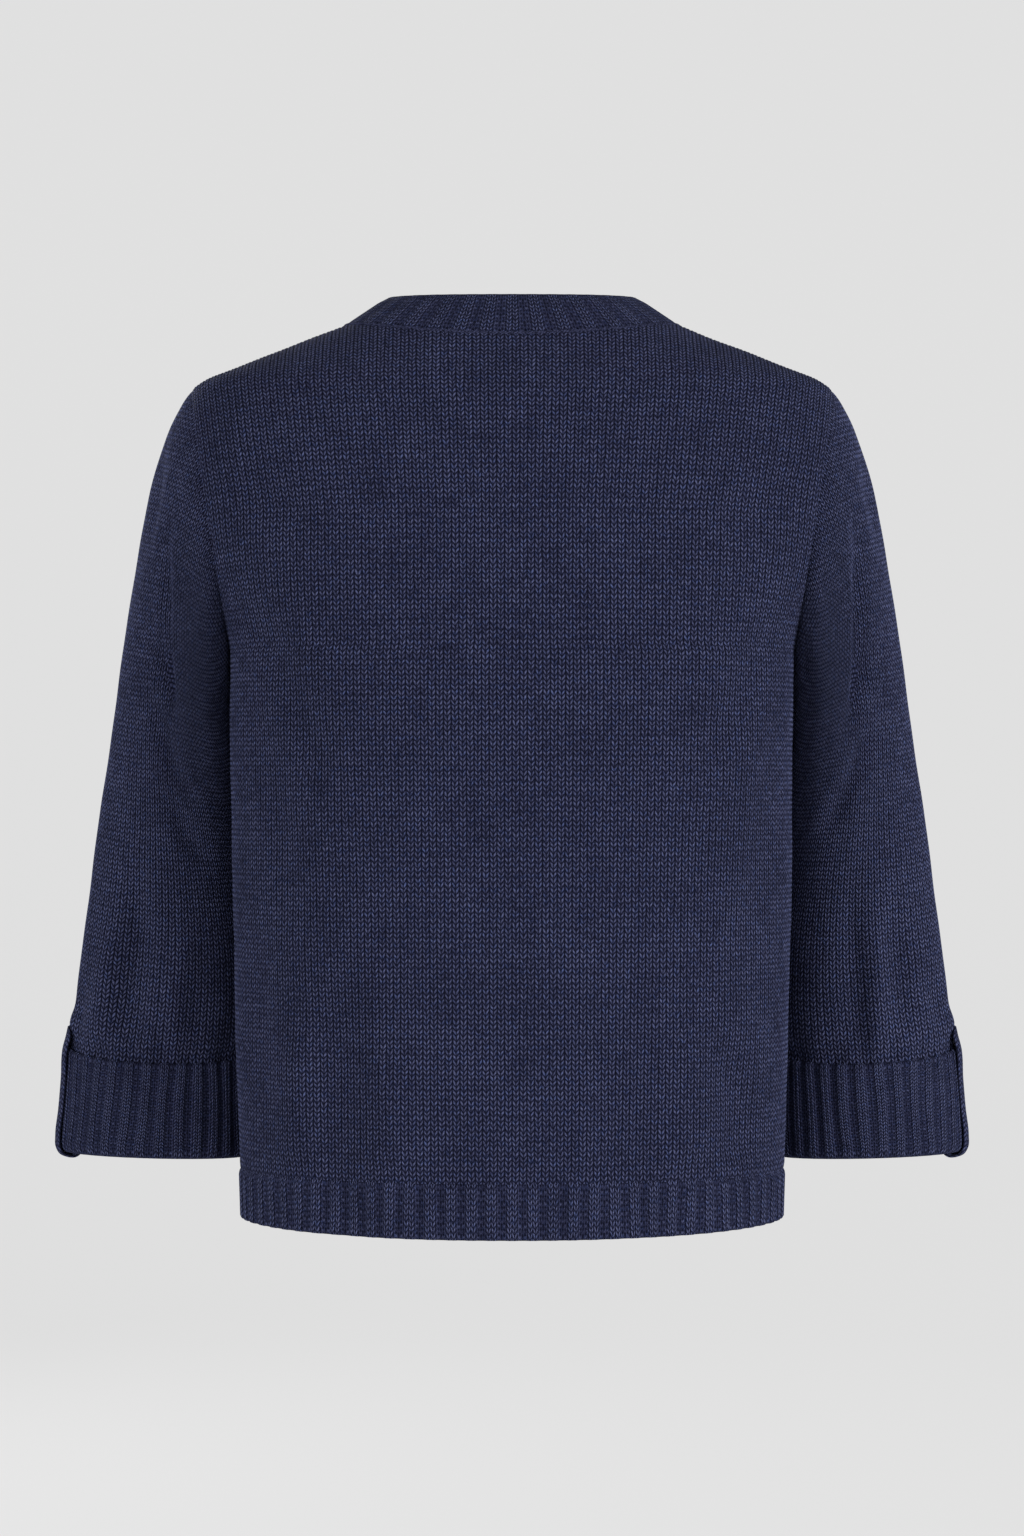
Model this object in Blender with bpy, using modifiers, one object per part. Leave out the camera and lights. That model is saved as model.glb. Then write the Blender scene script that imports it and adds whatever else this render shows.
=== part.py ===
"""A hip-length knitted cardigan, filled out as when worn, with wide three-quarter sleeves.

Metres, +Z up. The front faces -Y and the wearer's left is +X. The origin is on the midline,
level with the points where the neck seam crosses the tops of the shoulders.
"""
import math
from collections import namedtuple

import bmesh
import bpy
import numpy as np

# ---- Cloth
WALL = 0.0024                # thickness of the plain knit and of the rib between its raised wales
SEAM_GAP = 0.0004            # clearance between two pieces that are sewn together
RIB_RAISE = 0.0012           # how far a rib stands above the plain wall

# ---- Body
NECK_HALF = 0.103            # half the neck opening, at the seam
NECK_DROP_BACK = 0.011       # neck seam below the origin, behind
NECK_DROP_FRONT = 0.075      # and in front
SHOULDER_HALF = 0.197        # midline to the shoulder tip
SHOULDER_TIP = -0.0395       # level of the shoulder tip
SHOULDER_SLOPE = 0.393       # fall of the shoulder for each metre outwards
SHOULDER_TURN = 0.185        # where the shoulder starts to turn over into the sleeve
UNDERARM = -0.201            # level of the underarm point
HEM_TOP = -0.519
HEM_BOTTOM = -0.5495         # at the sides
HEM_SWAY = 0.0030            # how much lower the hem hangs on the midline
SECTION_POWER = 2.3          # of a typical section: 2 is an ellipse, more is boxier
SECTION_HALF_WIDTH = 0.171   # of the same section, by which columns of points are spaced
SECTION_DEPTH = 0.120

# ---- Armhole, a ring on the side of the body
ARM_MIDDLE = (SHOULDER_TIP + UNDERARM) / 2
ARM_HALF_HEIGHT = (SHOULDER_TIP - UNDERARM) / 2
ARM_BACK = 0.066             # how far behind the side seam the armhole reaches
ARM_FRONT = 0.060            # and in front of it
ARM_LEAN_POWER = 1.2         # how the ring leans in from the shoulder to the underarm
ARM_POINT_POWER = 1.3        # 1 is an oval armhole, more is pointed towards the underarm

# ---- Sleeve and its turned-up cuff
CUFF_FORWARD = -0.060        # the arm hangs this far in front of the side seam
SLEEVE_START = 0.0530        # reach of the shoulder's own direction into the sleeve
SLEEVE_END_SHARE = 0.71      # share of each line of the sleeve that is ruled by its lower end
SLEEVE_END_INWARD = 0.074    # how far each line leans in from the cuff, on the outer side
SLEEVE_END_BACKWARD = 0.060  # and towards the back, all round
SLEEVE_SWELL = 0.0045        # fullness of the outer side above the cuff
CUFF_SEAM = 0.03             # where the sleeve ends inside the cuff, as a share of its height
CUFF_INNER_TOP = 0.045       # where the cuff's hidden inner layer starts
CUFF_RIBS = 32

# ---- Ribbed trims
NECKBAND_WIDTH = 0.0321
NECKBAND_IN_SIDE = 0.742     # its free edge as a share of the neck seam's width
NECKBAND_IN_BACK = 0.745     # and of its depth behind the neck
NECKBAND_IN_FRONT = 0.800    # and in front
NECKBAND_RIBS = 40
HEM_RIBS_BACK = 38
HEM_RIBS_FRONT = 17          # on each front
BAND_HALF = 0.016            # half the width of a button band
BAND_RIBS = 3

# ---- Closure: the wearer's right laps over the left
LAP_OVER = 0.0024            # the right edge stands out by this much
LAP_UNDER = -0.0015          # and the left edge is pushed in by this much
LAP_RAMP = 0.060             # distance from the midline where the lap has faded out
BUTTON_LEVELS = (-0.0615, -0.155, -0.2485, -0.342, -0.4355, -0.529)

# ---- Cuff tab, a strap sewn to the sleeve that holds the cuff up
TAB_HALF_WIDTH = 0.0125
TAB_THICKNESS = 0.0018

Torso = namedtuple("Torso", "level half_width back front power")
TORSO = (
    Torso(-0.551, 0.1670, 0.1180, 0.1250, 2.30),
    Torso(-0.450, 0.1700, 0.1175, 0.1240, 2.30),
    Torso(-0.330, 0.1725, 0.1165, 0.1240, 2.38),
    Torso(-0.201, 0.1740, 0.1150, 0.1260, 2.60),
    Torso(-0.120, 0.1740, 0.1110, 0.1130, 2.60),
    Torso(-0.075, 0.1740, 0.1040, 0.0970, 2.50),
    Torso(-0.040, 0.1740, 0.0915, 0.0830, 2.40),
    Torso(-0.011, 0.1740, 0.0730, 0.0700, 2.30),
    Torso(0.000, 0.1740, 0.0650, 0.0640, 2.30),
)

# Soft vertical troughs in the hanging cloth: side is 1 behind and -1 in front
TROUGH_FADE_LOW = 0.04       # a trough fades in over this height at its lower end
TROUGH_FADE_HIGH = 0.09      # and out over this height at its upper end
Trough = namedtuple("Trough", "side x low high depth half_width")
TROUGHS = (
    Trough(1, 0.101, -0.570, -0.360, 0.0035, 0.016),
    Trough(1, -0.070, -0.570, -0.420, 0.0018, 0.020),
    Trough(-1, 0.094, -0.570, -0.330, 0.0035, 0.018),
    Trough(-1, -0.098, -0.570, -0.350, 0.0030, 0.018),
)

# Where the cloth heads as it leaves the armhole, at four places round it
Heading = namedtuple("Heading", "x y z")
HEADING_TOP = Heading(0.632, -0.020, -0.775)
HEADING_BEHIND = Heading(0.500, 0.020, -0.860)
HEADING_BEFORE = Heading(0.500, -0.120, -0.860)
HEADING_UNDER = Heading(0.050, -0.360, -0.930)

# Rings of a cuff: centre x, half width across, half depth, level
CuffRing = namedtuple("CuffRing", "centre across depth level")
CUFF_TOP = CuffRing(0.22365, 0.05515, 0.0360, -0.4518)
CUFF_FOLD = CuffRing(0.22585, 0.05735, 0.0370, -0.5172)
CUFF_TOP_TILT = 0.0023       # the cuff's top edge is higher on the outer side
CUFF_TOP_DIP = 0.006         # and lower behind
CUFF_FOLD_TILT = 0.0016      # its fold is higher on the outer side too

# Cross-section of a cuff, once round: share of the height below the top edge, height added
# to that, and offset out of the sleeve's surface
CuffPoint = namedtuple("CuffPoint", "share rise out raised")
CUFF_SECTION = (
    CuffPoint(0.00, 0.0000, 0.0020, 0.3),
    CuffPoint(0.00, -0.0030, 0.0026, 0.9),
    CuffPoint(1.00, 0.0060, 0.0026, 0.9),
    CuffPoint(1.00, 0.0000, 0.0010, 0.5),
    CuffPoint(1.00, 0.0010, -0.0018, 0.0),
    CuffPoint(1.00, 0.0060, -0.0024, 0.0),
    CuffPoint(CUFF_INNER_TOP, 0.0000, -0.0024, 0.0),
    CuffPoint(CUFF_INNER_TOP, 0.0000, -0.0002, 0.0),
    CuffPoint(1.00, 0.0050, -0.0002, 0.0),
    CuffPoint(1.00, 0.0050, 0.0004, 0.0),
    CuffPoint(0.00, 0.0000, 0.0006, 0.0),
)

# Middle line of a tab from the sleeve down and round the fold: x, level
TabPoint = namedtuple("TabPoint", "x level")
TAB_LINE = (
    TabPoint(0.2806, -0.4360),
    TabPoint(0.2820, -0.4425),
    TabPoint(0.2840, -0.4500),
    TabPoint(0.2853, -0.4700),
    TabPoint(0.2869, -0.4890),
    TabPoint(0.2888, -0.5060),
    TabPoint(0.2886, -0.5125),
    TabPoint(0.2864, -0.5165),
    TabPoint(0.2825, -0.5180),
    TabPoint(0.2785, -0.5178),
    TabPoint(0.2758, -0.5155),
    TabPoint(0.2750, -0.5110),
    TabPoint(0.2750, -0.5000),
)

# Turned profile of a button, outer face to seat: radius, height
ButtonPoint = namedtuple("ButtonPoint", "radius height")
BUTTON_PROFILE = (
    ButtonPoint(0.0000, 0.0022),
    ButtonPoint(0.0056, 0.0022),
    ButtonPoint(0.0070, 0.0030),
    ButtonPoint(0.0084, 0.0028),
    ButtonPoint(0.0090, 0.0018),
    ButtonPoint(0.0078, 0.0000),
    ButtonPoint(0.0000, 0.0000),
)

NAVY = (0.022, 0.027, 0.060, 1.0)
HORN = (0.030, 0.026, 0.028, 1.0)


# ---------------------------------------------------------------- curves and tables

def smooth_table(x, knots, values):
    """A smooth curve through a table's rows, held level beyond its ends."""
    knots = np.asarray(knots, float)
    values = np.asarray(values, float)
    slopes = np.gradient(values, knots)
    x = np.clip(x, knots[0], knots[-1])
    i = np.clip(np.searchsorted(knots, x) - 1, 0, len(knots) - 2)
    span = knots[i + 1] - knots[i]
    t = (x - knots[i]) / span
    start = (1 + 2 * t) * (1 - t) ** 2 * values[i] + t * (1 - t) ** 2 * span * slopes[i]
    end = t * t * (3 - 2 * t) * values[i + 1] - t * t * (1 - t) * span * slopes[i + 1]
    return start + end


def smooth_step(low, high, x):
    """0 below low, 1 above high, smooth between."""
    t = np.clip((x - low) / (high - low), 0, 1)
    return t * t * (3 - 2 * t)


def torso_size(level, column):
    return smooth_table(level, [row.level for row in TORSO], [getattr(row, column) for row in TORSO])


# ---------------------------------------------------------------- the body's surface

def shoulder_ridge(x):
    """Level of the top of the shoulder, at a distance x from the midline."""
    turned = np.clip((x - SHOULDER_TURN) / (SHOULDER_HALF - SHOULDER_TURN), 0, 1)
    straight_tip = -SHOULDER_SLOPE * (SHOULDER_HALF - NECK_HALF)
    return -SHOULDER_SLOPE * (x - NECK_HALF) + (SHOULDER_TIP - straight_tip) * turned ** 2


RIDGE_X = np.linspace(SHOULDER_HALF, NECK_HALF, 80)
RIDGE_LEVELS = shoulder_ridge(RIDGE_X)


def armhole_x(level):
    """Distance of the armhole seam from the midline, at a level."""
    lift = np.clip((level - UNDERARM) / (SHOULDER_TIP - UNDERARM), 0, 1)
    underarm_half = torso_size(UNDERARM, "half_width")
    return underarm_half + (SHOULDER_HALF - underarm_half) * lift ** ARM_LEAN_POWER


def armhole_depth(level, side):
    """How far the armhole seam is behind or in front of the side seam, at a level."""
    height = np.clip((level - ARM_MIDDLE) / ARM_HALF_HEIGHT, -1, 1)
    point = np.where(height < 0, ARM_POINT_POWER, 1.0)
    return np.where(side > 0, ARM_BACK, ARM_FRONT) * (1 - height ** 2) ** (point / 2)


def body_reach(level, side):
    """Half width of the body's section at a level; the armhole cuts its end off."""
    power = torso_size(level, "power")
    seam_share = (armhole_depth(level, side) / body_depth(level, side)) ** power
    through_armhole = armhole_x(level) / (1 - seam_share) ** (1 / power)
    over_shoulder = np.interp(level, RIDGE_LEVELS, RIDGE_X)
    above = np.where(level < SHOULDER_TIP, through_armhole, over_shoulder)
    return np.where(level <= UNDERARM, torso_size(level, "half_width"), above)


def body_depth(level, side):
    return np.where(side > 0, torso_size(level, "back"), torso_size(level, "front"))


def body_normal(x, y, level, side):
    """Outward direction of the body's surface at a point on it."""
    step = 0.0002
    power = torso_size(level, "power")

    def fill(at):
        power_at = torso_size(at, "power")
        across = np.abs(x) / body_reach(at, side)
        return across ** power_at + (np.abs(y) / body_depth(at, side)) ** power_at

    normal = np.stack((
        np.sign(x) * power * np.abs(x) ** (power - 1) / body_reach(level, side) ** power,
        np.sign(y) * power * np.abs(y) ** (power - 1) / body_depth(level, side) ** power,
        (fill(level + step) - fill(level - step)) / (2 * step)), axis=-1)
    return normal / np.linalg.norm(normal, axis=-1, keepdims=True)


def lap(x, side):
    """How far the closure moves the front out or in, towards the midline."""
    fade = 1 - smooth_step(BAND_HALF, LAP_RAMP, np.abs(x))
    return np.where(side > 0, 0.0, np.where(x < 0, LAP_OVER, LAP_UNDER) * fade)


def troughs(x, level, side):
    """Depth of the soft vertical folds."""
    total = np.zeros_like(x + level)
    for fold in TROUGHS:
        begun = smooth_step(fold.low, fold.low + TROUGH_FADE_LOW, level)
        ended = smooth_step(fold.high - TROUGH_FADE_HIGH, fold.high, level)
        across = np.exp(-((x - fold.x) / fold.half_width) ** 2)
        total = total + np.where(side == fold.side, fold.depth * begun * (1 - ended) * across, 0.0)
    return total


def body_surface(x, level, side, fold_lap=True):
    """Points of the body's outer face and its outward directions."""
    x, level = np.broadcast_arrays(np.asarray(x, float), np.asarray(level, float))
    power = torso_size(level, "power")
    inside = np.clip(1 - (np.abs(x) / body_reach(level, side)) ** power, 0, 1)
    y = side * body_depth(level, side) * inside ** (1 / power)
    normal = body_normal(x, y, level, side)
    out = -troughs(x, level, side)
    if fold_lap:
        out = out + lap(x, side)
    return np.stack((x, y, level), axis=-1) + normal * out[..., None], normal


ARC_ANGLE = np.linspace(math.pi / 2, 0, 400)
ARC_X = np.cos(ARC_ANGLE) ** (2 / SECTION_POWER)
ARC_Y = np.sin(ARC_ANGLE) ** (2 / SECTION_POWER)


def across_at(share):
    """Share of the half width reached by a share of the way round from the midline to the side."""
    run = np.hypot(np.diff(ARC_X) * SECTION_HALF_WIDTH, np.diff(ARC_Y) * SECTION_DEPTH)
    run = np.concatenate(((0.0,), np.cumsum(run)))
    return np.interp(share, run / run[-1], ARC_X)


def neck_seam(angle, side):
    """x and level of the neck seam; 0 is on the shoulder and 90 degrees is on the midline."""
    x = NECK_HALF * np.cos(angle)
    back = -NECK_DROP_BACK * np.sin(angle) ** 2
    front = -NECK_DROP_FRONT * np.abs(np.sin(angle)) ** 1.3
    return x, np.where(side > 0, back, front)


# ---------------------------------------------------------------- solids from grids of points

def grid_normals(grid, around):
    """Directions square to a grid of points, rows by columns."""
    if around:
        wide = np.concatenate((grid[:, -1:], grid, grid[:, :1]), axis=1)
        across = (wide[:, 2:] - wide[:, :-2])
    else:
        across = np.gradient(grid, axis=1)
    normal = np.cross(across, np.gradient(grid, axis=0))
    return normal / np.linalg.norm(normal, axis=-1, keepdims=True)


def pull_in(grid, rows=True, columns=True):
    """Moves a grid's edges in by half the clearance of a seam."""
    grid = grid.copy()
    ends = []
    if rows:
        ends += [(np.s_[0], np.s_[1]), (np.s_[-1], np.s_[-2])]
    if columns:
        ends += [(np.s_[:, 0], np.s_[:, 1]), (np.s_[:, -1], np.s_[:, -2])]
    for edge, within in ends:
        step = grid[within] - grid[edge]
        grid[edge] = grid[edge] + step / np.linalg.norm(step, axis=-1, keepdims=True) * SEAM_GAP / 2
    return grid


def material(name, colour, roughness):
    found = bpy.data.materials.new(name)
    found.use_nodes = True
    shader = found.node_tree.nodes["Principled BSDF"]
    shader.inputs["Base Color"].default_value = colour
    shader.inputs["Roughness"].default_value = roughness
    shader.inputs["Metallic"].default_value = 0.0
    return found


def add_object(name, mesh, colour, roughness):
    mesh.materials.append(material(name + "_finish", colour, roughness))
    piece = bpy.data.objects.new(name, mesh)
    COLLECTION.objects.link(piece)
    return piece


def finished_mesh(name, shell):
    """Turns a closed shell's faces outwards and makes it a smooth-shaded mesh."""
    bmesh.ops.recalc_face_normals(shell, faces=shell.faces)
    if shell.calc_volume(signed=True) < 0:
        bmesh.ops.reverse_faces(shell, faces=shell.faces)
    mesh = bpy.data.meshes.new(name)
    shell.to_mesh(mesh)
    shell.free()
    mesh.shade_smooth()
    mesh.set_sharp_from_angle(angle=math.radians(50))
    return mesh


def wall(name, outer, inner, around=False):
    """A closed wall between an outer and an inner grid of the same size.

    It is lofted rather than thickened by a modifier, because ribs stand on the outer
    face alone and the end faces of neighbours at a seam have to match.
    """
    rows, columns = outer.shape[:2]
    shell = bmesh.new()
    faces = []
    for grid in (outer, inner):
        faces.append([[shell.verts.new(point) for point in row] for row in grid])
    wrap = columns if around else columns - 1

    def quad(a, b, c, d):
        shell.faces.new((a, b, c, d))

    for face in faces:
        for i in range(rows - 1):
            for j in range(wrap):
                k = (j + 1) % columns
                quad(face[i][j], face[i][k], face[i + 1][k], face[i + 1][j])
    top, under = faces
    for i in (0, rows - 1):
        for j in range(wrap):
            k = (j + 1) % columns
            quad(top[i][j], top[i][k], under[i][k], under[i][j])
    if not around:
        for j in (0, columns - 1):
            for i in range(rows - 1):
                quad(top[i][j], top[i + 1][j], under[i + 1][j], under[i][j])
    return add_object(name, finished_mesh(name, shell), NAVY, 0.95)


def ring_solid(name, section):
    """A closed tube of any cross-section round a ring: points by columns."""
    points, columns = section.shape[:2]
    shell = bmesh.new()
    verts = [[shell.verts.new(point) for point in row] for row in section]
    for i in range(points):
        for j in range(columns):
            k = (j + 1) % columns
            n = (i + 1) % points
            shell.faces.new((verts[i][j], verts[i][k], verts[n][k], verts[n][j]))
    return add_object(name, finished_mesh(name, shell), NAVY, 0.95)


def rib_wave(count):
    """Raised share at each column of a ribbed piece: valley, peak, valley and so on."""
    return np.arange(2 * count + 1) % 2


# ---------------------------------------------------------------- body panels

BODY_ROWS = 7
YOKE_STEPS = (0.12, 0.24, 0.36, 0.48, 0.60, 0.70, 0.80, 0.88, 0.945, 1.0)
SHOULDER_COLUMNS = (0.20, 0.42, 0.64, 0.84, 1.0)
NECK_COLUMNS_BACK = 13       # along half of the neck seam
NECK_COLUMNS_FRONT = 12


def top_edge(side):
    """x and level along a panel's top: along the neck seam and then out along the shoulder."""
    if side > 0:
        angles = np.linspace(math.pi / 2, 0, NECK_COLUMNS_BACK)
    else:
        angles = np.linspace(math.acos(BAND_HALF / NECK_HALF), 0, NECK_COLUMNS_FRONT)
    x, level = neck_seam(angles, side)
    shoulder_x = NECK_HALF + (SHOULDER_HALF - NECK_HALF) * np.array(SHOULDER_COLUMNS)
    return np.concatenate((x, shoulder_x)), np.concatenate((level, shoulder_ridge(shoulder_x)))


def half_panel(side):
    """x and level of half a panel, from its inner edge to the side seam and armhole."""
    top_x, top_level = top_edge(side)
    start = 0.0 if side > 0 else BAND_HALF
    shares = np.linspace(0, 1, len(top_x))
    if side < 0:
        first = np.interp(BAND_HALF / SECTION_HALF_WIDTH, across_at(shares), shares)
        shares = first + (1 - first) * shares
    low = across_at(shares)
    low = (low - low[0]) / (1 - low[0])
    high = (top_x - start) / (SHOULDER_HALF - start)
    xs = []
    levels = []
    for level in np.linspace(HEM_TOP, UNDERARM, BODY_ROWS):
        xs.append(start + (torso_size(level, "half_width") - start) * low)
        levels.append(np.full_like(low, level))
    for step in YOKE_STEPS:
        rise = (1 - math.cos(math.pi * step)) / 2
        edge_x = armhole_x(UNDERARM + (SHOULDER_TIP - UNDERARM) * rise)
        xs.append(start + (edge_x - start) * ((1 - step) * low + step * high))
        levels.append(UNDERARM + (top_level - UNDERARM) * rise)
    return np.array(xs), np.array(levels)


def make_panel(name, x, level, side):
    outer, normal = body_surface(x, level, side)
    inner = outer - normal * WALL
    return wall(name, pull_in(outer), pull_in(inner))


def make_body():
    x, level = half_panel(1)
    x = np.concatenate((-x[:, :0:-1], x), axis=1)
    level = np.concatenate((level[:, :0:-1], level), axis=1)
    make_panel("back", x, level, 1)
    x, level = half_panel(-1)
    make_panel("front_left", x, level, -1)
    make_panel("front_right", -x[:, ::-1], level[:, ::-1], -1)


# ---------------------------------------------------------------- ribbed trims

HEM_SHARES = (0.0, 0.15, 1.0)
HEM_RAISED = (0.3, 1.0, 0.8)


def make_hem(name, x_of_column, side, ribs):
    """Rib below the body: x_of_column gives x for a level and a share of the way across."""
    shares = np.linspace(0, 1, 2 * ribs + 1)
    outer = []
    inner = []
    for share, raised in zip(HEM_SHARES, HEM_RAISED):
        level = HEM_TOP + (HEM_BOTTOM - HEM_TOP) * share
        x = x_of_column(level, shares)
        sway = HEM_SWAY * share * (1 - (x / torso_size(level, "half_width")) ** 2)
        points, normal = body_surface(x, level - sway, side)
        lift = rib_wave(ribs) * raised * RIB_RAISE
        outer.append(points + normal * lift[:, None])
        inner.append(points - normal * WALL)
    return wall(name, pull_in(np.array(outer)), pull_in(np.array(inner)))


def make_hems():
    def behind(level, shares):
        signed = 2 * shares - 1
        return np.sign(signed) * across_at(np.abs(signed)) * torso_size(level, "half_width")

    def left_front(level, shares):
        half = torso_size(level, "half_width")
        grid = np.linspace(0, 1, 200)
        first = np.interp(BAND_HALF / half, across_at(grid), grid)
        return across_at(first + (1 - first) * shares) * half

    def right_front(level, shares):
        return -left_front(level, shares)

    make_hem("hem_back", behind, 1, HEM_RIBS_BACK)
    make_hem("hem_front_left", left_front, -1, HEM_RIBS_FRONT)
    make_hem("hem_front_right", right_front, -1, HEM_RIBS_FRONT)


def neck_ring(turn, fold_lap=True):
    """Points of the neck seam for a turn from 0, the wearer's left side, to 180 degrees behind
    the neck and on to the other side; the front half goes past both ends."""
    angle = np.arctan2(np.abs(np.sin(turn)), np.abs(np.cos(turn)))
    side = np.where(np.sin(turn) >= 0, 1, -1)
    x, level = neck_seam(angle, side)
    return body_surface(np.sign(np.cos(turn)) * x, level, side, fold_lap)


def neckband_surface(turn, share, fold_lap=True):
    """The neckband's outer face: share is 0 at the seam and 1 at its free edge."""
    base, seam_normal = neck_ring(turn, fold_lap)
    behind = smooth_step(-0.4, 0.4, np.sin(turn))
    inward_y = NECKBAND_IN_FRONT + (NECKBAND_IN_BACK - NECKBAND_IN_FRONT) * behind
    inward = np.stack((np.full_like(turn, NECKBAND_IN_SIDE), inward_y), axis=-1)
    lean = base[..., :2] * (inward - 1)
    rise = np.sqrt(NECKBAND_WIDTH ** 2 - np.sum(lean ** 2, axis=-1))
    upward = np.concatenate((lean, rise[..., None]), axis=-1)
    return base + upward * share, seam_normal


def neck_turns(count):
    """Turns spaced evenly along the neck seam between the button bands."""
    first = -math.acos(BAND_HALF / NECK_HALF)
    fine = np.linspace(first, math.pi - first, 1200)
    points, _ = neckband_surface(fine, 0.5)
    run = np.concatenate(((0.0,), np.cumsum(np.linalg.norm(np.diff(points, axis=0), axis=-1))))
    return np.interp(np.linspace(0, run[-1], count), run, fine)


NECKBAND_SHARES = (0.0, 0.12, 0.55, 1.0)
NECKBAND_RAISED = (0.2, 1.0, 1.0, 0.8)


def make_neckband():
    turns = neck_turns(2 * NECKBAND_RIBS + 1)
    grid = np.array([neckband_surface(turns, share)[0] for share in NECKBAND_SHARES])
    seam_normal = neckband_surface(turns, 0.0)[1]
    normal = grid_normals(grid, around=False)
    normal *= np.sign(np.sum(normal * seam_normal, axis=-1, keepdims=True))
    normal[0] = seam_normal
    lift = np.outer(NECKBAND_RAISED, rib_wave(NECKBAND_RIBS) - 0.5) * RIB_RAISE
    wall("neckband", pull_in(grid + normal * lift[..., None]), pull_in(grid - normal * WALL))


def make_band(name, lift):
    """Button band from the hem to the top of the neckband, over or under the midline."""
    x = np.linspace(-BAND_HALF, BAND_HALF, 2 * BAND_RIBS + 1)
    levels = np.concatenate((np.linspace(HEM_BOTTOM - HEM_SWAY, -0.10, 14), (-0.088,)))
    rows = []
    for level in levels:
        points, _ = body_surface(x, level, -1, fold_lap=False)
        rows.append(points)
    turns = -np.arccos(np.clip(x / NECK_HALF, -1, 1))
    for share in (0.0, 0.5, 1.0):
        points, _ = neckband_surface(turns, share, fold_lap=False)
        rows.append(points)
    grid = np.array(rows)
    normal = grid_normals(grid, around=False)
    normal *= -np.sign(normal[:, :, 1:2])
    raised = rib_wave(BAND_RIBS)[None, :, None] * RIB_RAISE
    outer = pull_in(grid + normal * (lift + raised), rows=False)
    inner = pull_in(grid + normal * (lift - WALL), rows=False)
    wall(name, outer, inner)
    return grid, normal


def make_buttons(grid, normal):
    """Plain buttons down the middle of the outer band."""
    middle = grid.shape[1] // 2
    profile = bpy.data.meshes.new("button")
    profile.from_pydata([(p.radius, 0, p.height) for p in BUTTON_PROFILE],
                        [(i, i + 1) for i in range(len(BUTTON_PROFILE) - 1)], [])
    for number, level in enumerate(BUTTON_LEVELS, start=1):
        line = grid[:, middle]
        facing = normal[:, middle]
        y = np.interp(level, line[:, 2], line[:, 1])
        up = np.interp(level, line[:, 2], facing[:, 2])
        out = LAP_OVER + RIB_RAISE + SEAM_GAP
        tilt = math.asin(up)
        button = add_object("button_%d" % number, profile.copy(), HORN, 0.35)
        button.location = (0.0, y - out * math.cos(tilt), level + out * math.sin(tilt))
        button.rotation_euler = (math.pi / 2 - tilt, 0.0, 0.0)
        turned = button.modifiers.new("Turned", "SCREW")
        turned.steps = 16
        turned.render_steps = 16
        turned.use_merge_vertices = True
        turned.merge_threshold = 0.0001


# ---------------------------------------------------------------- sleeves, cuffs and tabs

def armhole(turn):
    """The armhole seam: 0 at the shoulder tip, 90 degrees behind, 180 at the underarm."""
    level = ARM_MIDDLE + ARM_HALF_HEIGHT * np.cos(turn)
    y = np.sign(np.sin(turn)) * armhole_depth(level, np.sin(turn))
    return np.stack((armhole_x(level), y, level), axis=-1)


def cuff_surface(turn, share, out):
    """Points round a cuff: share is 0 at its top edge and 1 at the fold."""
    centre = CUFF_TOP.centre + (CUFF_FOLD.centre - CUFF_TOP.centre) * share
    across = CUFF_TOP.across + (CUFF_FOLD.across - CUFF_TOP.across) * share + out
    depth = CUFF_TOP.depth + (CUFF_FOLD.depth - CUFF_TOP.depth) * share + out
    top = CUFF_TOP.level + CUFF_TOP_TILT * np.cos(turn) - CUFF_TOP_DIP * np.sin(turn)
    fold = CUFF_FOLD.level + CUFF_FOLD_TILT * np.cos(turn)
    level = top + (fold - top) * share
    return np.stack((centre + across * np.cos(turn), CUFF_FORWARD + depth * np.sin(turn), level), axis=-1)


def sleeve_start_direction(turn):
    """Where the cloth heads as it leaves the armhole, all round it."""
    heading = np.zeros((len(turn), 3))
    for towards, place in ((np.cos(turn), HEADING_TOP), (-np.cos(turn), HEADING_UNDER),
                           (np.sin(turn), HEADING_BEHIND), (-np.sin(turn), HEADING_BEFORE)):
        heading += np.outer(np.clip(towards, 0, 1) ** 2, place)
    return heading / np.linalg.norm(heading, axis=-1, keepdims=True)


def sleeve_surface(turn, share):
    """The sleeve's outer face: share is 0 at the armhole and 1 where it meets the cuff."""
    start = armhole(turn)
    end = cuff_surface(turn, CUFF_SEAM, 0.0)
    ending = cuff_surface(turn, -1.0, 0.0) - end
    ending = ending / np.linalg.norm(ending, axis=-1, keepdims=True)
    length = np.linalg.norm(end - start, axis=-1, keepdims=True)
    outer = np.clip(np.cos(turn), 0, 1)
    ending[:, 0] -= SLEEVE_END_INWARD * outer
    ending[:, 1] += SLEEVE_END_BACKWARD
    first = start + sleeve_start_direction(turn) * SLEEVE_START
    second = end + ending * length * SLEEVE_END_SHARE
    rest = 1 - share
    line = rest ** 3 * start + 3 * rest ** 2 * share * first
    line = line + 3 * rest * share ** 2 * second + share ** 3 * end
    line[:, 0] += SLEEVE_SWELL * outer * share ** 4 * (1 - share ** 12)
    return line


SLEEVE_SHARES = (0.0, 0.05, 0.11, 0.18, 0.27, 0.38, 0.52, 0.68, 0.82, 0.92, 1.0)


def mirrored(points, flip):
    return points * np.array((-1.0 if flip else 1.0, 1.0, 1.0))


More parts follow.
